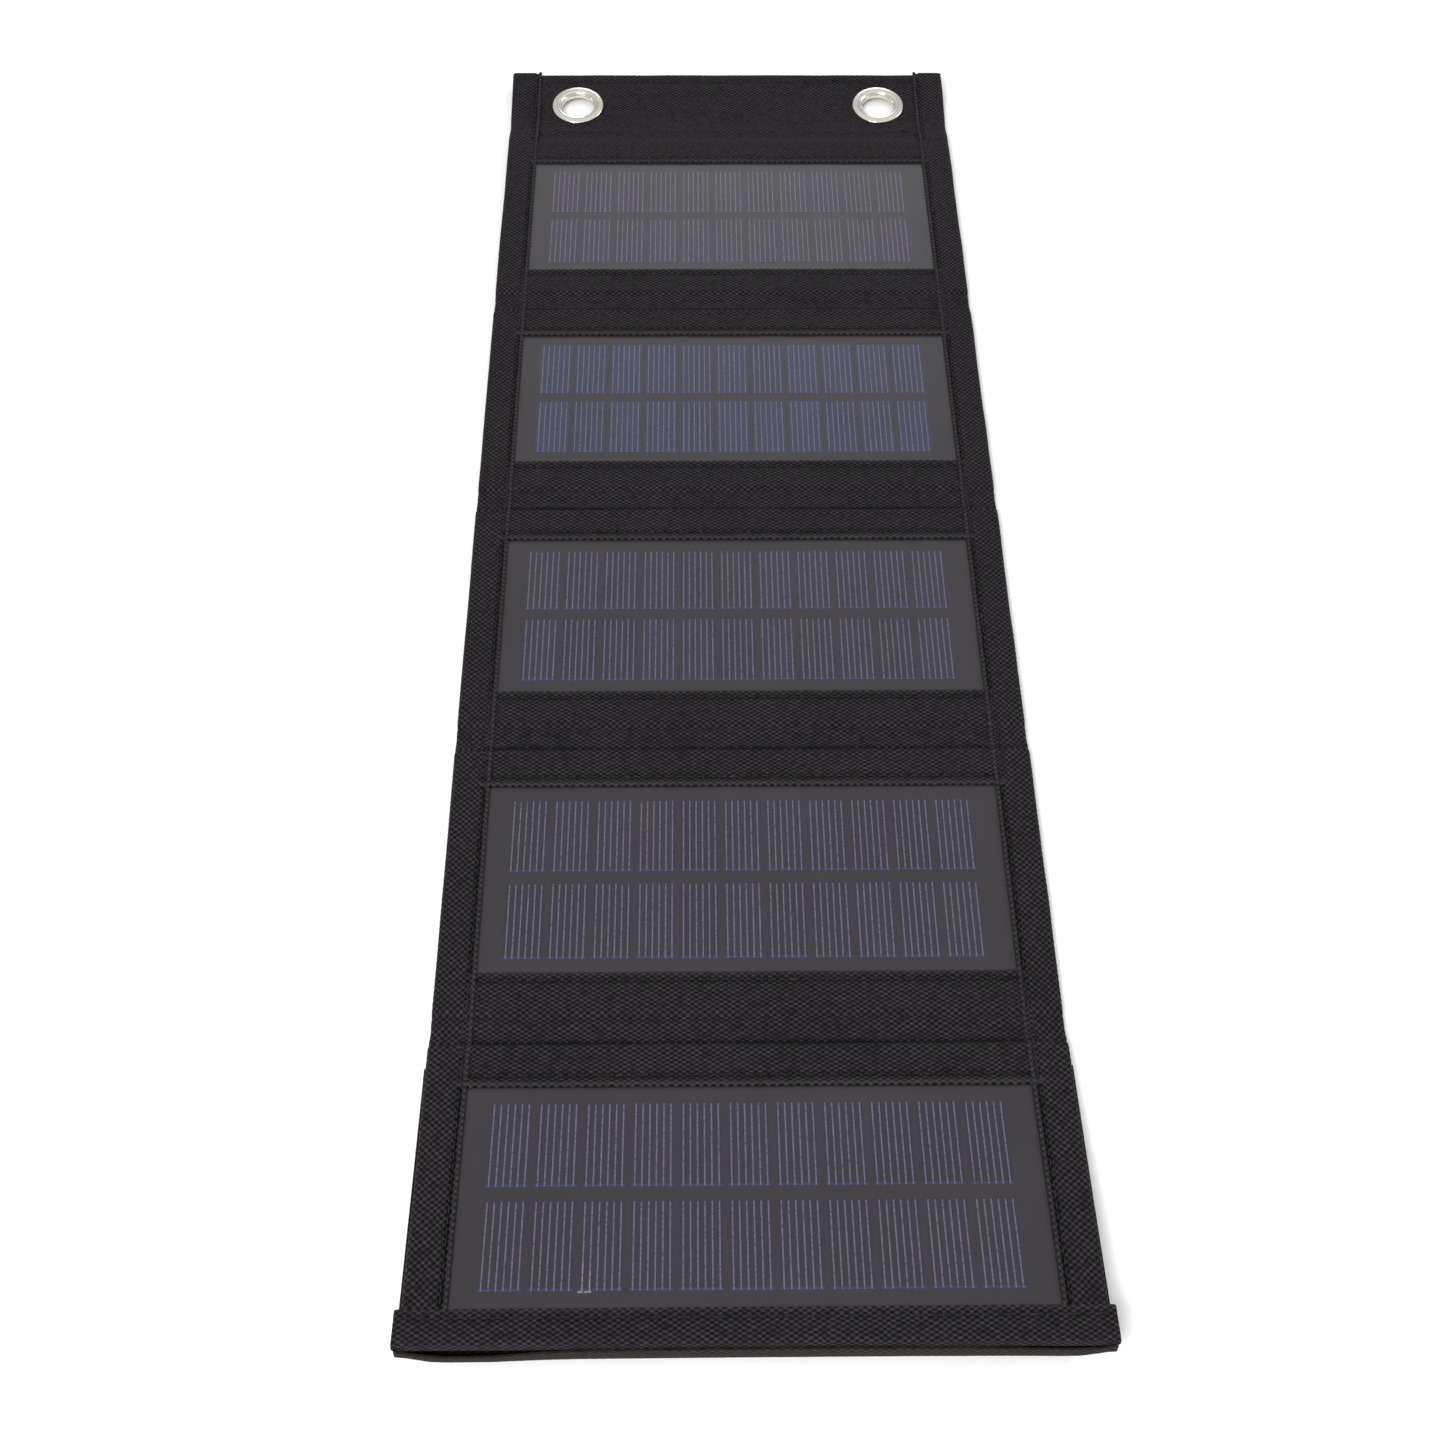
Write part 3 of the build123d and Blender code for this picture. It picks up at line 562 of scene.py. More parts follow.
for lower in GAPS:
    along = edged(window_top[lower], window_bottom[lower - 1], WEAVE_STEP)
    across = evenly(-window_side - TUCK, window_side + TUCK, WEAVE_STEP)
    y, x = np.meshgrid(along, across, indexing="ij")
    top = gap_top(lower, x, y)
    edge_wave = 0.12 * ripples(x, 0 * x, 5, 60 + lower)
    t = y - window_top[lower]
    shift = edge_wave * (bell(t, 0, 2.0) + bell(gap_length - t, 0, 2.0))
    surface = joined(x, y + shift, top)
    under = joined(x, y + shift, np.minimum(top - CLOTH_T, film_high[2]))
    far = gap_length - t
    # Painted highlight along both rolled edges; painted shade along both stitch rows and the first bend's
    # crease.
    lightness_with_painted_light = 0.55 * bell(t, 0.7, 0.5) + 0.25 * bell(far, 0.6, 0.5)
    painted_seam_and_crease_shade = 0.4 * bell(t, SEAM_LOW, 0.8) + 0.35 * bell(far, SEAM_HIGH, 0.8)
    painted_seam_and_crease_shade = painted_seam_and_crease_shade + 0.5 * bell(t, BEND_T + 0.8, 0.9)
    mark, beyond, near, past = across_fold(lower)
    name = f"gap_cloth_{mark}"
    piece = woven(name, cloth_material, surface, joined(x, y), back=under, wear_and_painted_shading=lightness_with_painted_light - painted_seam_and_crease_shade)
    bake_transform(piece)
    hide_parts(f"panel_{lower}_top_strip", f"panel_{lower - 1}_bottom_strip")

# ---- Side bindings ----
# Oxford tape folded round both long edges and sewn through every layer.  Its upper edge is turned
# under, so a ridge about 1.2 mm wide runs beside the stitching.  It creases where the boards end.
TAPE_W = tape_side - window_side
TAPE_ROUND = 1.6
TAPE_TOP = tape_z - 0.42       # the ridge stands above this
TAPE_STEP = 0.5
TAPE_THREADS = (1.0, 1.0)
RIDGE_W = 1.2
TAPE_SEAM = 2.0                # stitch line in from the tape's inner edge
TAPE_LAP = 0.25                # tape's inner edge inside the window's side
HEM_LENGTH = 9.5
hem_start = window_bottom[PANELS] - HEM_LENGTH
FLAP_TAPE_PAST = 1.0           # tape past the flap's cloth
flap_top_z = corners("flap_front_cloth")[1][2]
flap_tape_low, flap_tape_high = (c[2] for c in corners("flap_bindings"))


def folded_section(width, radius, thickness, step):
    """Cloth folded round an edge, from its upper inner edge round to its lower one: arc lengths,
    distances out, and depths below its top, with a quarter circle at each outer corner."""
    flat, wall = width - radius, thickness - 2 * radius
    corner = radius * math.pi / 2
    s = evenly(0, 2 * flat + 2 * corner + wall, step)
    first = np.clip((s - flat) / corner, 0, 1) * math.pi / 2
    second = np.clip((s - flat - corner - wall) / corner, 0, 1) * math.pi / 2
    back = np.clip(s - flat - 2 * corner - wall, 0, flat)
    out = np.minimum(s, flat) + radius * (np.sin(first) + np.cos(second) - 1) - back
    depth = radius * (1 - np.cos(first) + np.sin(second)) + np.clip(s - flat - corner, 0, wall)
    return s, out, depth


tape_s, tape_out, tape_depth = folded_section(TAPE_W, TAPE_ROUND, TAPE_TOP, TAPE_STEP)


def on_flap(y):
    """0 on the panels and 1 on the flap, with an S curve about the flap's fold."""
    return smooth((y - fold["flap_fold"][1] + 9) / 11)


def tape_levels(side, y):
    """Underside and upper side of the binding along the length: thinner in the gaps, where no
    board lies in it, thinner again on the flap, and pressed flat under the hem."""
    top = TAPE_TOP + np.minimum(creases(side * (window_side + 6) + 0 * y, y), 0)
    bottom = 0.1 + 0 * y
    for lower in GAPS:
        t = y - window_top[lower]
        top = top - sag(t)
        bottom = bottom + 1.1 * sag(t)
    top = top + (flap_tape_high - TAPE_TOP) * on_flap(y)
    bottom = bottom + flap_tape_low * on_flap(y)
    tucked = 1 - smooth((y - hem_start - HEM_LENGTH + 1.5) / 1.5)
    return bottom + 0.3 * tucked, top - 0.35 * tucked


def binding(side, start, end):
    """Surface and cloth measures of one binding between two places along the charger."""
    y, s = np.meshgrid(evenly(start, end, TAPE_STEP), tape_s, indexing="ij")
    out, high = tape_out + 0 * y, 1 - tape_depth / TAPE_TOP + 0 * y
    bottom, top = tape_levels(side, y)
    ridge = smooth((RIDGE_W + 0.3 - s) / 0.3) * 0.4
    groove = 0.5 * bell(s, RIDGE_W + 0.6, 0.42)
    dimple = 0.12 * bell(s, TAPE_SEAM, 0.6) * pucker(y, 0.5)
    wave = 0.10 * ripples(s + 0 * y, y, 22, 70 + side)
    z = bottom + (top - bottom) * high + (ridge - groove - dimple + wave) * smooth((10 - s) / 3)
    pull = 0.22 * ripples(0 * y, y, 30, 80 + side) + 0.15 * creases(0 * y, y)
    notch = 0.0
    for name in fold:
        notch = notch + 0.2 * bell(y, fold[name][1] + 1.5, 4.0)
    share = smooth((out - 6) / 6)
    x = window_side + out + (pull - notch) * share - TAPE_LAP
    surface = joined(side * x, y, z)
    uv = joined(s, y)
    # Painted highlight along the turned-under edge; painted shade in the groove beside the ridge and along
    # the stitch line.
    wear_and_painted_shading = 0.4 * bell(s, 0.7, 0.45) - 0.5 * bell(s, RIDGE_W + 0.7, 0.4)
    wear_and_painted_shading = wear_and_painted_shading - 0.3 * bell(s, TAPE_SEAM + 0.1, 0.4)
    if side < 0:
        surface, uv, wear_and_painted_shading = surface[:, ::-1], uv[:, ::-1], wear_and_painted_shading[:, ::-1]
    return surface, uv, wear_and_painted_shading


for lower in (*GAPS, 1):
    start = hem_start + 1.5 if lower == PANELS else middle[lower]
    end = middle[lower - 1] if lower > 1 else flap_end + FLAP_TAPE_PAST
    mark, beyond, near, past = across_fold(lower)
    for side, word in ((-1, "left"), (1, "right")):
        surface, uv, wear_and_painted_shading = binding(side, start, end)
        name = f"{word}_binding_{mark}"
        piece = woven(name, cloth_material, surface, uv, threads=TAPE_THREADS, wear_and_painted_shading=wear_and_painted_shading)
        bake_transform(piece)
        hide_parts(f"panel_{lower}_bindings")
        if lower == 1:
            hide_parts("flap_bindings")

# ---- Flap with its front cloth ----
# One piece of oxford cloth runs from a stitched hem over the first window to the flap's end.  The
# flap is two layers of cloth with nothing stiff inside, so it drops off the board's end and wrinkles.
EYELET_X = 62.3
EYELET_HOLE = 8.6              # cloth cut away under each eyelet's flange
board_end = corners("panel_1_stiffener")[1][1]
FLAP_SEAM = 4.0                # stitch row in from the flap's end
FLAP_WRINKLES = [              # as in the gaps, from the first window
    ((-76, 26), (-70, 48), 1.3, 0.5), ((-74, 19), (-66, 32), 1.2, 0.45),
    ((72, 21), (77, 44), 1.3, 0.5), ((64, 17), (76, 29), 1.2, 0.45),
    ((-48, 40), (-30, 48), 1.8, 0.3), ((30, 48), (50, 40), 1.8, 0.3),
]
ARCH_HALF = 52                 # arched crease reaches this far each side


def from_eyelet(x, y):
    """Distance to the nearer eyelet's centre."""
    return np.hypot(np.abs(x) - EYELET_X, y - eyelet_y)


def beside_eyelets(x, y):
    """Which squares of a grid are cloth, and not cut away under an eyelet."""
    return from_eyelet((x[:-1, :-1] + x[1:, 1:]) / 2, (y[:-1, :-1] + y[1:, 1:]) / 2) > EYELET_HOLE


def flap_top(x, y):
    """Height of the flap's front cloth: a hem over the first window, a step down off the board's
    end, an arched crease between the eyelets and short wrinkles beside the bindings."""
    t = y - window_top[1]
    far = flap_end - y
    drop = smooth((y - board_end + 0.5) / 8)
    z = strip_z + (flap_top_z - strip_z) * drop
    z = z + 0.3 * bell(t, 0.9, 1.1) - 0.26 * pucker(x, 0.25) * bell(t, SEAM_HIGH, 0.6)
    z = z + 0.16 * bell(far, 1.2, 1.5) - 0.2 * pucker(x, 0.25) * bell(far, FLAP_SEAM, 0.6)
    arch_y = 47 + 3.2 * np.cos(x / ARCH_HALF * math.pi / 2)
    arch = 0.35 * bell(t, arch_y, 1.5) - 0.2 * bell(t, arch_y - 3.2, 2.0)
    loose = arch * smooth((ARCH_HALF - np.abs(x)) / 12)
    loose = loose + 0.12 * ripples(x, t, 22, 31) + 0.35 * bell(t, 24.0, 1.4)
    for wrinkle in FLAP_WRINKLES:
        loose = loose + pinch(x, t, *wrinkle)
    z = z + loose * smooth((t - 6) / 6) * smooth((from_eyelet(x, y) - 10) / 4)
    return z - round_off(t)


along = edged(window_top[1], flap_end, WEAVE_STEP)
across = evenly(-window_side - TUCK, window_side + TUCK, WEAVE_STEP)
y, x = np.meshgrid(along, across, indexing="ij")
top = flap_top(x, y)
shift = 0.12 * ripples(x, 0 * x, 5, 61) * bell(y, window_top[1], 2.0)
surface = joined(x, y + shift, top)
under = joined(x, y + shift, top - CLOTH_T - 0.3 * bell(y, window_top[1], 1.5))
t, far = y - window_top[1], flap_end - y
# Painted highlight along the hem's edge and the flap's end; painted shade along both stitch rows.
wear_and_painted_shading = 0.45 * bell(t, 0.7, 0.5) - 0.4 * bell(t, SEAM_HIGH, 0.8)
wear_and_painted_shading = wear_and_painted_shading + 0.2 * bell(far, 0.6, 0.8) - 0.2 * bell(far, FLAP_SEAM, 0.7)
cloth = beside_eyelets(x, y)
piece = woven("flap_front", cloth_material, surface, joined(x, y), back=under, keep=cloth, wear_and_painted_shading=wear_and_painted_shading)
near, past = across_fold(1)[2:]
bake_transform(piece)
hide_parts("panel_1_top_strip", "flap_front_cloth")

# ---- Back cloth ----
# The same oxford, coated on its inner side, covers the whole back from the hem to the flap's end.
# Only the weave and the shallow bends at the folds show on it.
BACK_STEP = THREAD_X
BOARD_PAST = 13                # boards end this far past their windows
back_low = corners("panel_3_back_cloth")[0]
flap_back_z = corners("flap_back_cloth")[0][2]
back_side = -back_low[0]
back_material = oxford_cloth("black_coated_oxford_back", "#0b0a0c", "#302c2e", 0.66, 0.6)
across = evenly(back_side, -back_side, BACK_STEP)
for lower in (*GAPS, 1):
    start = hem_start + 1.0 if lower == PANELS else middle[lower]
    end = middle[lower - 1] if lower > 1 else flap_end
    y, x = np.meshgrid(evenly(start, end, BACK_STEP), across, indexing="ij")
    z = back_low[2] + (flap_back_z - back_low[2]) * on_flap(y)
    for gap in GAPS:
        t = y - window_top[gap]
        z = z + 0.35 * smooth((t - BOARD_PAST) / 3) * smooth((gap_length - BOARD_PAST - t) / 3)
    z = z + (0.1 * ripples(x, y, 28, 90) + 0.1) * smooth((from_eyelet(x, y) - 10) / 4)
    surface = joined(x, y, z)
    mark, beyond, near, past = across_fold(lower)
    name = f"back_cloth_{mark}" if lower > 1 else "flap_back"
    piece = woven(
        name, back_material, surface, joined(x, y), depth=0.08, keep=beside_eyelets(x, y),
        threads=(THREAD_X, THREAD_X)
    )
    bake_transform(piece)
    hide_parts(f"panel_{lower}_back_cloth")
    if lower == 1:
        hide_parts("flap_back_cloth")

# ---- Bottom hem ----
# A strip of oxford folded over the end of the last panel, outside the bindings, so it is a little
# wider than they are.  Its fold has a painted highlight, and its inner edge is turned under and stitched.
hem_side = corners("bottom_hem")[1][0]
HEM_TOP = tape_z
HEM_CORNER = 1.3
HEM_SET = 0.6                  # hem drawn this far over the end
HEM_SEAM = 2.6                 # stitch line in from the hem's inner edge
HEM_ENDS = 1.1                 # the hem's ends are pressed together over this much
hem_s, hem_out, hem_up = folded_section(HEM_LENGTH, HEM_CORNER, HEM_TOP, WEAVE_STEP)
across = edged(-hem_side, hem_side, WEAVE_STEP)
length, x = np.meshgrid(hem_s, across, indexing="ij")
along, z = (HEM_LENGTH - hem_out)[:, None] + 0 * x, hem_up[:, None] + 0 * x
end_gap = np.clip((hem_side - np.abs(x)) / HEM_ENDS, 0, 1)
squeeze = 0.45 + 0.55 * np.sqrt(1 - (1 - end_gap) ** 2)
z = HEM_TOP / 2 + (z - HEM_TOP / 2) * squeeze
from_end = hem_s[-1] - length
upper_edge = smooth((9 - from_end) / 4)
z = z - 0.14 * pucker(x, 0.4) * bell(from_end, HEM_SEAM, 0.6) + 0.1 * bell(from_end, 0.8, 0.8)
z = z + 0.1 * ripples(x, along, 18, 51) * upper_edge
y = hem_start - HEM_SET + along + 0.18 * ripples(x, 0 * x, 34, 52) * smooth((6 - along) / 4)
# Painted highlight on the fold and the inner edge; painted shade along the stitch line.
wear_and_painted_shading = 0.2 * bell(along, 0.3, 1.1) * upper_edge + 0.2 * bell(from_end, 0.5, 0.5)
wear_and_painted_shading = wear_and_painted_shading - 0.12 * bell(from_end, HEM_SEAM, 0.8)
piece = woven("hem_cloth", cloth_material, joined(x, y, z), joined(x, length), wear_and_painted_shading=wear_and_painted_shading)
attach(piece, "panel_5")
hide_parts("bottom_hem")

# ---- Rear pocket ----
# A single layer of cloth under the last panel holds the regulator.  It is sewn to the back along
# both sides and at its far end, lies on the table, and its open mouth hangs just below the hem.
MOUTH_FRONT = 0.6              # mouth in front of the hem's edge
MOUTH_LAP = 2.5                # mouth above the hem's underside
MOUTH_UNDER = 4.3              # foot of the front behind the mouth
MOUTH_DROPS = ((-91.3, 0.0), (-86, 2.6), (-78, 4.4), (-66, 4.2), (-54, 2.0), (-44, 1.0), (0, 0.6),
               (40, 0.7), (62, 1.3), (78, 2.3), (86, 2.0), (91.3, 0.0))
pocket_material = oxford_cloth("black_oxford_pocket", "#0d0b0b", "#3b322e", 0.75, 0.6)
pocket_back = corners("rear_pocket")[1][1]
pocket_side = hem_side - 0.6
SEWN_FROM = 82                 # the pocket's sides close up beyond this
SEWN_END = 9                   # and its far end over this much
hem_low = settle(np.array([[0.0, hem_start - HEM_SET, 0.3]]))[0]
reach = hem_low[2] + 0.4
laid = reach + evenly(WEAVE_STEP, pocket_back - hem_low[1], 1.2)
v = np.concatenate([evenly(0, reach, WEAVE_STEP), laid])
v, x = np.meshgrid(v, evenly(-pocket_side, pocket_side, BACK_STEP), indexing="ij")
drop_x, drop_z = np.array(MOUTH_DROPS).T
mouth_z = hem_low[2] + MOUTH_LAP - np.interp(x, drop_x, drop_z)
wall = np.clip(v / reach, 0, 1)
floor_y = np.clip(v - reach, 0, None)
y = hem_low[1] - MOUTH_FRONT + MOUTH_UNDER * wall**3 + floor_y
z = mouth_z * (1 - wall) + CLOTH_T * wall
panel_under = settle(joined(x, np.clip(y, hem_start, None), 0 * x))[..., 2]
sewn_side = smooth((np.abs(x) - SEWN_FROM) / (pocket_side - SEWN_FROM))
sewn = np.maximum(sewn_side, smooth((y - pocket_back + SEWN_END) / SEWN_END))
z = z + (np.maximum(panel_under, CLOTH_T) - z) * sewn * smooth((v - 1) / 6)
z = np.maximum(z + 0.15 * (1 + ripples(x, y, 24, 53)) * smooth(floor_y / 8), CLOTH_T + 0.05)
surface = joined(x, y, z - CLOTH_T)[:, ::-1]
normal = normals(surface)
pairs = joined(x, v)[:, ::-1] / np.array([THREAD_X, THREAD_Y])
face = surface - normal * (0.06 * (1 - weave(pairs)))[..., None]
piece = closed_sheet("pocket_cloth", pocket_material, face, surface - normal * CLOTH_T, pairs)
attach(piece, "panel_5")
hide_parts("rear_pocket")

# ---- Stitching ----
# Black polyester thread, about 0.4 mm thick, in lockstitches about 2.7 mm long that sink into the
# cloth at both ends.  Every row follows the surface of the cloth that it holds.
STITCH_L = 2.7
THREAD_R = 0.21


def polyester_thread():
    """Bonded polyester thread: black with a slight gloss, and a few pale worn stitches."""
    material, output = new_material("black_bonded_polyester_thread")
    place = add(material, "TexCoord", {}).outputs["Object"]
    fibre = add(material, "TexNoise", {"Vector": place, "Scale": 5200.0, "Detail": 3.0})
    wear_and_painted_shading = add(material, "TexNoise", {"Vector": place, "Scale": 150.0, "Detail": 2.0})
    worn = add(material, "MapRange", {0: wear_and_painted_shading, 1: 0.66, 2: 0.74})
    mixed = add(material, "Math", {0: worn, 1: fibre}, operation="MULTIPLY")
    colour = add(
        material, "Mix", {0: mixed, 6: linear("#0b0a0a"), 7: linear("#4a4441")}, data_type="RGBA"
    )
    bump = add(material, "Bump", {"Height": fibre, "Strength": 0.4, "Distance": 0.0001})
    return finish_material(material, output, {
        "Base Color": colour.outputs[2], "Roughness": 0.55, "Specular IOR Level": 0.35, "Normal": bump,
    })


thread_material = polyester_thread()


def stitches(name, places, directions, sinks):
    """Thread segments: a square tube that tapers to both ends, arched over the cloth, at every
    place and along every direction, each turned to one of the four sides of the tube."""
    run = np.array([-1.0, -0.72, 0.0, 0.72, 1.0])
    arch = THREAD_R * (1.15 - 1.5 * run**4)
    girth = THREAD_R * np.sqrt(1.02 - run**4)
    turn = np.arange(4) * math.pi / 2 + math.pi / 4
    sideways = girth[:, None] * np.cos(turn) * 1.2
    upward = arch[:, None] + girth[:, None] * np.sin(turn)
    forward = np.repeat(run[:, None] * STITCH_L / 2, 4, axis=1)
    up = np.array([0.0, 0.0, 1.0])
    aside = np.cross(directions, up)
    points = (
        places[:, None, None]
        + forward[..., None] * directions[:, None, None]
        + sideways[..., None] * aside[:, None, None]
        + (upward[..., None] - sinks[:, None, None, None]) * up
    )
    corner = np.arange(16)
    following = corner - corner % 4 + (corner + 1) % 4
    sides = joined(corner, following, following + 4, corner + 4)
    one = np.concatenate([sides, [[3, 2, 1, 0], [16, 17, 18, 19]]])
    quads = one[None] + 20 * np.arange(len(places))[:, None, None]
    return mesh_object(name, thread_material, settle(points), quads.reshape(-1, 4), sharp=80)


def row_across(name, body, y, surface_z, seed, half=window_side - 1.0):
    """A row of stitches across the charger at one place along it."""
    draw = np.random.default_rng(seed)
    x = np.arange(-half + STITCH_L / 2, half - STITCH_L / 2, STITCH_STEP)
    y_each = y + draw.uniform(-0.12, 0.12, len(x))
    places = joined(x, y_each, surface_z(x, y_each))
    slant = draw.uniform(-0.05, 0.05, len(x))
    directions = joined(np.cos(slant), np.sin(slant), 0 * slant)
    piece = stitches(name, places, directions, draw.uniform(-0.02, 0.08, len(x)))
    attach(piece, body)


for lower in GAPS:
    def top_of(x, y, lower=lower):
        return gap_top(lower, x, y)
    upper = lower - 1
    low_y, high_y = window_top[lower] + SEAM_LOW, window_bottom[upper] - SEAM_HIGH
    row_across(f"seam_above_panel_{lower}", f"panel_{lower}", low_y, top_of, 200 + lower)
    row_across(f"seam_below_panel_{upper}", f"panel_{upper}", high_y, top_of, 210 + upper)
row_across("seam_above_panel_1", "panel_1", window_top[1] + SEAM_HIGH, flap_top, 221)
row_across("seam_at_flap_end", "flap", flap_end - FLAP_SEAM, flap_top, 222)
hem_seam_y = window_bottom[PANELS] - HEM_SEAM - HEM_SET
row_across("seam_on_hem", "panel_5", hem_seam_y, lambda x, y: HEM_TOP - 0.2 + 0 * x, 223, hem_side - 2.5)

SEAM_BREAK = 0.4               # seam ends this far from a panel's middle
for lower in (*GAPS, 1):
    start = window_bottom[PANELS] + 1.0 if lower == PANELS else middle[lower] + SEAM_BREAK
    end = middle[lower - 1] - SEAM_BREAK if lower > 1 else flap_end - 1.0
    mark, beyond, near, past = across_fold(lower)
    for side, word in ((-1, "left"), (1, "right")):
        draw = np.random.default_rng(300 + 2 * lower + side)
        y = np.arange(start + STITCH_L / 2, end - STITCH_L / 2, STITCH_STEP)
        x = side * (window_side - TAPE_LAP + TAPE_SEAM) + draw.uniform(-0.1, 0.1, len(y))
        z = tape_levels(side, y)[1] - 0.12
        directions = joined(0 * y, np.ones(len(y)), np.gradient(z, y))
        directions = directions / np.linalg.norm(directions, axis=-1, keepdims=True)
        piece = stitches(
            f"{word}_seam_{mark}", joined(x, y, z), directions, draw.uniform(-0.02, 0.06, len(y))
        )
        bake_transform(piece)

# ---- Eyelets ----
# Two pressed steel eyelets, nickel plated: a domed flange rolls over into a deep funnel, the barrel
# goes through both layers of cloth, and its end is rolled out over a flat washer at the back.
HOLE_R = 6.5
BARREL_WALL = 0.5
CROWN_R = 8.35
ROLL_R = 0.3


def arc(centre_r, centre_z, radius_r, radius_z, start, end, count):
    """Points of an ellipse's arc in a section, angles in degrees from straight out."""
    angle = np.radians(np.linspace(start, end, count))
    return joined(centre_r + radius_r * np.cos(angle), centre_z + radius_z * np.sin(angle))


def nickel_plate():
    """Bright nickel on pressed steel: warm silver, nearly mirror smooth, with faint drawing marks
    in the funnel and handling scuffs a few tenths of a millimetre wide."""
    material, output = new_material("bright_nickel_plated_steel")
    place = add(material, "TexCoord", {}).outputs["Object"]
    scuff = add(
        material, "TexNoise",
        {"Vector": place, "Scale": 900.0, "Detail": 5.0, "Roughness": 0.65, "Distortion": 1.5}
    )
    cloud = add(material, "TexNoise", {"Vector": place, "Scale": 160.0, "Detail": 2.0})
    gloss = add(material, "MapRange", {0: scuff, 1: 0.3, 2: 0.75, 3: 0.2, 4: 0.25})
    colour = add(
        material, "Mix", {0: cloud, 6: linear("#dcd7ce"), 7: linear("#ece8e0")}, data_type="RGBA"
    )
    bump = add(material, "Bump", {"Height": scuff, "Strength": 0.02, "Distance": 0.00002})
    return finish_material(material, output, {
        "Base Color": colour.outputs[2], "Metallic": 1.0, "Roughness": gloss, "Normal": bump,
    })


nickel = nickel_plate()


def turned(name, sections, centres, steps=96):
    """Closed rings turned about upright axes, and tipped up with the flap: each section's points
    go round anticlockwise."""
    points, quads, offset = [], [], 0
    for section, centre in zip(sections, centres):
        count = len(section)
        angle = np.arange(steps) / steps * 2 * math.pi
        r, z = section[:, 0], section[:, 1]
        ring = np.stack(
            [centre[0] + np.cos(angle)[:, None] * r, centre[1] + np.sin(angle)[:, None] * r,
             np.broadcast_to(z, (steps, count))], axis=-1
        )
        i, j = np.meshgrid(np.arange(steps), np.arange(count), indexing="ij")
        i2, j2 = (i + 1) % steps, (j + 1) % count
        quad = joined(i * count + j, i2 * count + j, i2 * count + j2, i * count + j2)
        drawn, raised = tip_flap(np.array(centre[1]))
        y, z = ring[..., 1] - centre[1], ring[..., 2] - flap_top_z
        tipped_y = centre[1] - drawn + y * math.cos(FLAP_TILT) - z * math.sin(FLAP_TILT)
        tipped_z = flap_top_z + raised + y * math.sin(FLAP_TILT) + z * math.cos(FLAP_TILT)
        points.append(joined(ring[..., 0], tipped_y, tipped_z).reshape(-1, 3))
        quads.append(quad.reshape(-1, 4) + offset)
        offset += steps * count
    return mesh_object(name, nickel, np.concatenate(points), np.concatenate(quads), sharp=50)


washer_low, washer_high = corners("eyelet_washers")
seat = flap_top_z + 0.05
crown = eyelet_high[2]
lip_low = eyelet_low[2]
funnel_w = CROWN_R - HOLE_R
section = np.concatenate([
    arc(FLANGE_R - ROLL_R, seat + ROLL_R, ROLL_R, ROLL_R, -90, 20, 8),
    arc(CROWN_R, seat + ROLL_R, FLANGE_R - ROLL_R * 0.2 - CROWN_R, crown - seat - ROLL_R, 25, 78, 12),
    np.array([[CROWN_R + 0.2, crown - 0.4], [CROWN_R + 0.05, crown - 0.4]]),
    arc(CROWN_R, crown - 2.0, funnel_w, 2.0, 95, 180, 16),
    np.array([[HOLE_R, lip_low + 0.3], [HOLE_R + 0.1, lip_low + 0.08]]),
    arc(HOLE_R + 1.2, lip_low + 0.15, 0.3, 0.15, -90, 60, 5),
    np.array([[HOLE_R + BARREL_WALL, lip_low + 0.32], [HOLE_R + BARREL_WALL, seat]]),
])
centres = [(-EYELET_X, eyelet_y), (EYELET_X, eyelet_y)]
piece = turned("nickel_eyelets", [section] * 2, centres)
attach(piece, "flap")
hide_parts("eyelets")

washer_r = (washer_high[0] - washer_low[0]) / 2 - EYELET_X
half_t = (washer_high[2] - washer_low[2]) / 2
washer_mid = (washer_high[2] + washer_low[2]) / 2
inner_r = HOLE_R + BARREL_WALL
washer = np.concatenate([
    arc(washer_r - half_t, washer_mid, half_t, half_t, -90, 90, 9),
    arc(inner_r + 0.1, washer_mid, 0.1, half_t, 90, 270, 7),
])
piece = turned("nickel_washers", [washer] * 2, centres)
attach(piece, "flap")
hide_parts("eyelet_washers")

# ---- Boards, ribbons and regulator inside ----
# Hidden in use: black laminate, polypropylene stiffeners, copper ribbons, and in the pocket a
# moulded case with its circuit board, socket, choke, chip and lamp.  They keep their CAD shape.


def plain_finish(name, first, second, rough, metallic=0.0, scale=900.0, bump_depth=0.00004):
    """A moulded, rolled or etched finish: two close colours in fine noise, a matching change of
    gloss, and a shallow bump of the same grain."""
    material, output = new_material(name)
    place = add(material, "TexCoord", {}).outputs["Object"]
    grain = add(material, "TexNoise", {"Vector": place, "Scale": scale, "Detail": 5.0})
    colour = add(material, "Mix", {0: grain, 6: linear(first), 7: linear(second)}, data_type="RGBA")
    gloss = add(material, "MapRange", {0: grain, 3: rough - 0.08, 4: rough + 0.08})
    bump = add(material, "Bump", {"Height": grain, "Strength": 0.5, "Distance": bump_depth})
    return finish_material(material, output, {
        "Base Color": colour.outputs[2], "Metallic": metallic, "Roughness": gloss, "Normal": bump,
    })


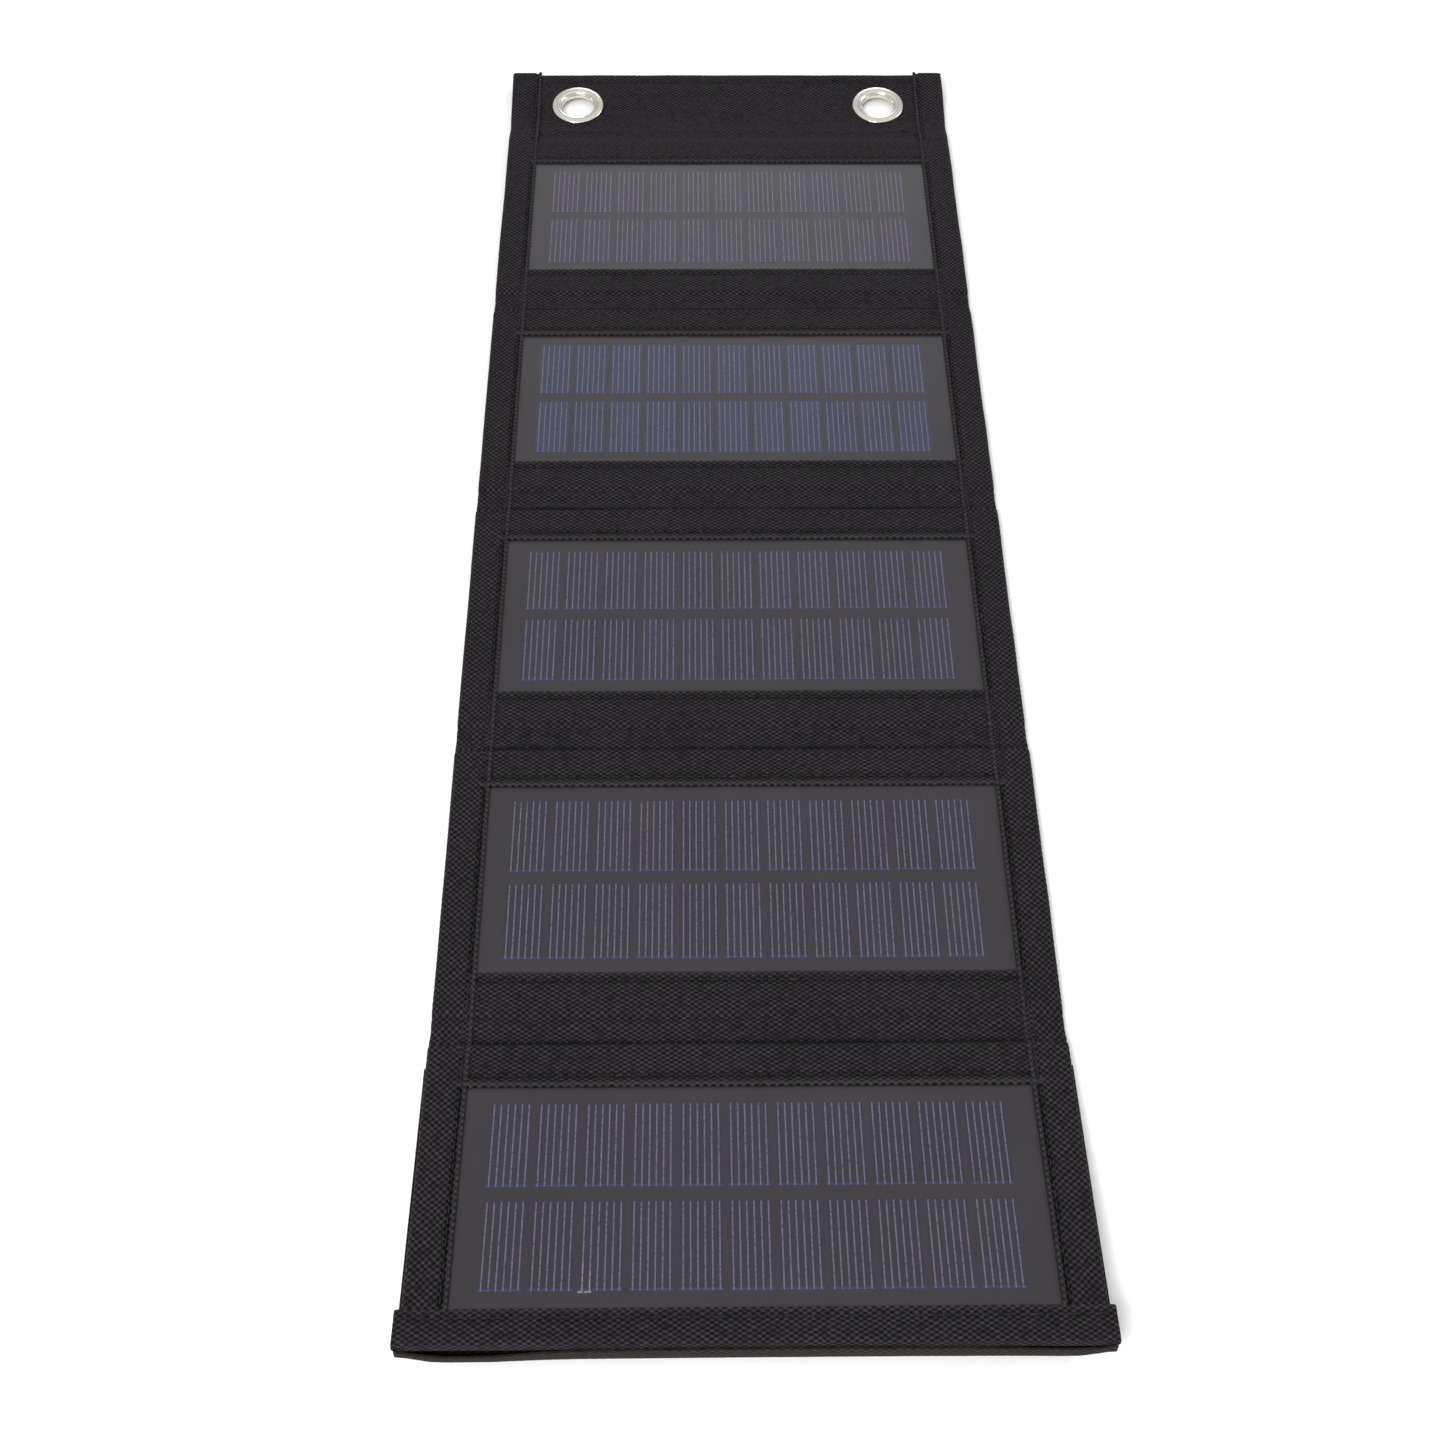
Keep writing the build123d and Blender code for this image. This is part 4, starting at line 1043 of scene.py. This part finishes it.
finishes = {
    "laminate": plain_finish("black_glass_fibre_laminate", "#131215", "#1d1b1f", 0.5, scale=1500.0),
    "stiffener": plain_finish("extruded_black_polypropylene", "#1c1c1d", "#262627", 0.45, scale=300.0),
    "leads": plain_finish("tinned_copper_ribbon", "#b9b4ab", "#cfcac0", 0.3, metallic=1.0),
    "regulator_case_top": plain_finish("moulded_black_abs", "#151516", "#1f1f20", 0.42, scale=1800.0),
    "regulator_circuit_board": plain_finish("green_solder_mask_on_fr4", "#0d3a22", "#12482b", 0.35),
    "usb_socket_shell": plain_finish("nickel_plated_steel_sheet", "#b8b5af", "#cbc8c1", 0.28, metallic=1.0),
    "usb_socket_tongue": plain_finish("white_pbt", "#d9d8d2", "#e5e4de", 0.4),
    "usb_socket_contacts": plain_finish("gold_plated_bronze", "#d6a94c", "#e2bb63", 0.25, metallic=1.0),
    "choke_coil": plain_finish("grey_ferrite", "#2b2b2d", "#3a3a3c", 0.6, scale=2600.0),
    "regulator_chip": plain_finish("matte_black_epoxy", "#17181a", "#202124", 0.55, scale=2600.0),
    "lamp_light_pipe": plain_finish("milky_green_polycarbonate", "#7fb98a", "#93c89c", 0.3),
}
finishes["regulator_case_bottom"] = finishes["regulator_case_top"]
for name, node in frame["nodes"].items():
    key = name.split("_", 2)[2] if name.startswith("panel_") else name
    if key in finishes:
        for material_slot in node.material_slots:
            material_slot.material = finishes[key]
        if not node.material_slots:
            node.data.materials.append(finishes[key])

# ---- Table, light and camera ----
# A plain white table, a soft light from the front left, weaker ones from the right and from behind,
# and a white room, dimmer half way up, that gives the film its even grey sheen.
CAMERA_AT = (-14.6, -498.0, 519.1)
CAMERA_AIM = (-6.0, -69.5, 0.0)
CAMERA_ROLL = 0.0112
LENS = 52.77

floor_mesh = bpy.data.meshes.new("table_top")
HALF = 6.0                     # half the table's side, in metres
table_corners = [(-HALF, -HALF, 0), (HALF, -HALF, 0), (HALF, HALF, 0), (-HALF, HALF, 0)]
floor_mesh.from_pydata(table_corners, [], [(0, 1, 2, 3)])
floor = bpy.data.objects.new("table_top", floor_mesh)
bpy.context.scene.collection.objects.link(floor)
floor_material = plain_finish("matte_white_table", "#f6f6f6", "#fafafa", 0.8, scale=40.0, bump_depth=0.0)
floor_mesh.materials.append(floor_material)

world = bpy.data.worlds.new("white_room")
bpy.context.scene.world = world
world.use_nodes = True
sky = add(world, "TexCoord", {})
height = add(world, "SeparateXYZ", {0: sky.outputs["Generated"]})
from_band = add(world, "Math", {0: height.outputs[2], 1: 0.5}, operation="SUBTRACT")
distance = add(world, "Math", {0: from_band}, operation="ABSOLUTE")
strength = add(world, "MapRange", {0: distance, 1: 0.05, 2: 0.42, 3: 0.5, 4: 0.87})
room = world.node_tree.nodes["Background"]
room.inputs["Color"].default_value = (1.0, 1.0, 1.0, 1.0)
world.node_tree.links.new(strength.outputs[0], room.inputs["Strength"])


def soft_light(name, at, aim, size, power):
    """A square area light at a place in metres, aimed at a point."""
    data = bpy.data.lights.new(name, "AREA")
    data.size = size
    data.energy = power
    light = bpy.data.objects.new(name, data)
    light.location = at
    light.rotation_euler = (Vector(aim) - Vector(at)).to_track_quat("-Z", "Y").to_euler()
    bpy.context.scene.collection.objects.link(light)


soft_light("front_softbox", (-0.55, -1.15, 1.25), (0, 0, 0), 0.7, 26)
soft_light("side_softbox", (1.5, 0.5, 0.9), (0, 0, 0), 0.7, 7)
soft_light("back_softbox", (0.1, 2.4, 1.1), (0, 0.1, 0), 0.8, 5.0)

camera_data = bpy.data.cameras.new("camera")
camera = bpy.data.objects.new("camera", camera_data)
bpy.context.scene.collection.objects.link(camera)
forward = (Vector(CAMERA_AIM) - Vector(CAMERA_AT)).normalized()
level = forward.cross(Vector((0, 0, 1))).normalized()
upright = level.cross(forward)
right = math.cos(CAMERA_ROLL) * level + math.sin(CAMERA_ROLL) * upright
above = math.cos(CAMERA_ROLL) * upright - math.sin(CAMERA_ROLL) * level
turn = Matrix((right, above, -forward)).transposed().to_4x4()
camera.matrix_world = Matrix.Translation(Vector(CAMERA_AT) / 1000) @ turn
camera_data.lens = LENS
camera_data.sensor_width = 36
camera_data.clip_start = 0.01
bpy.context.scene.camera = camera
bpy.context.scene.view_settings.view_transform = "Standard"
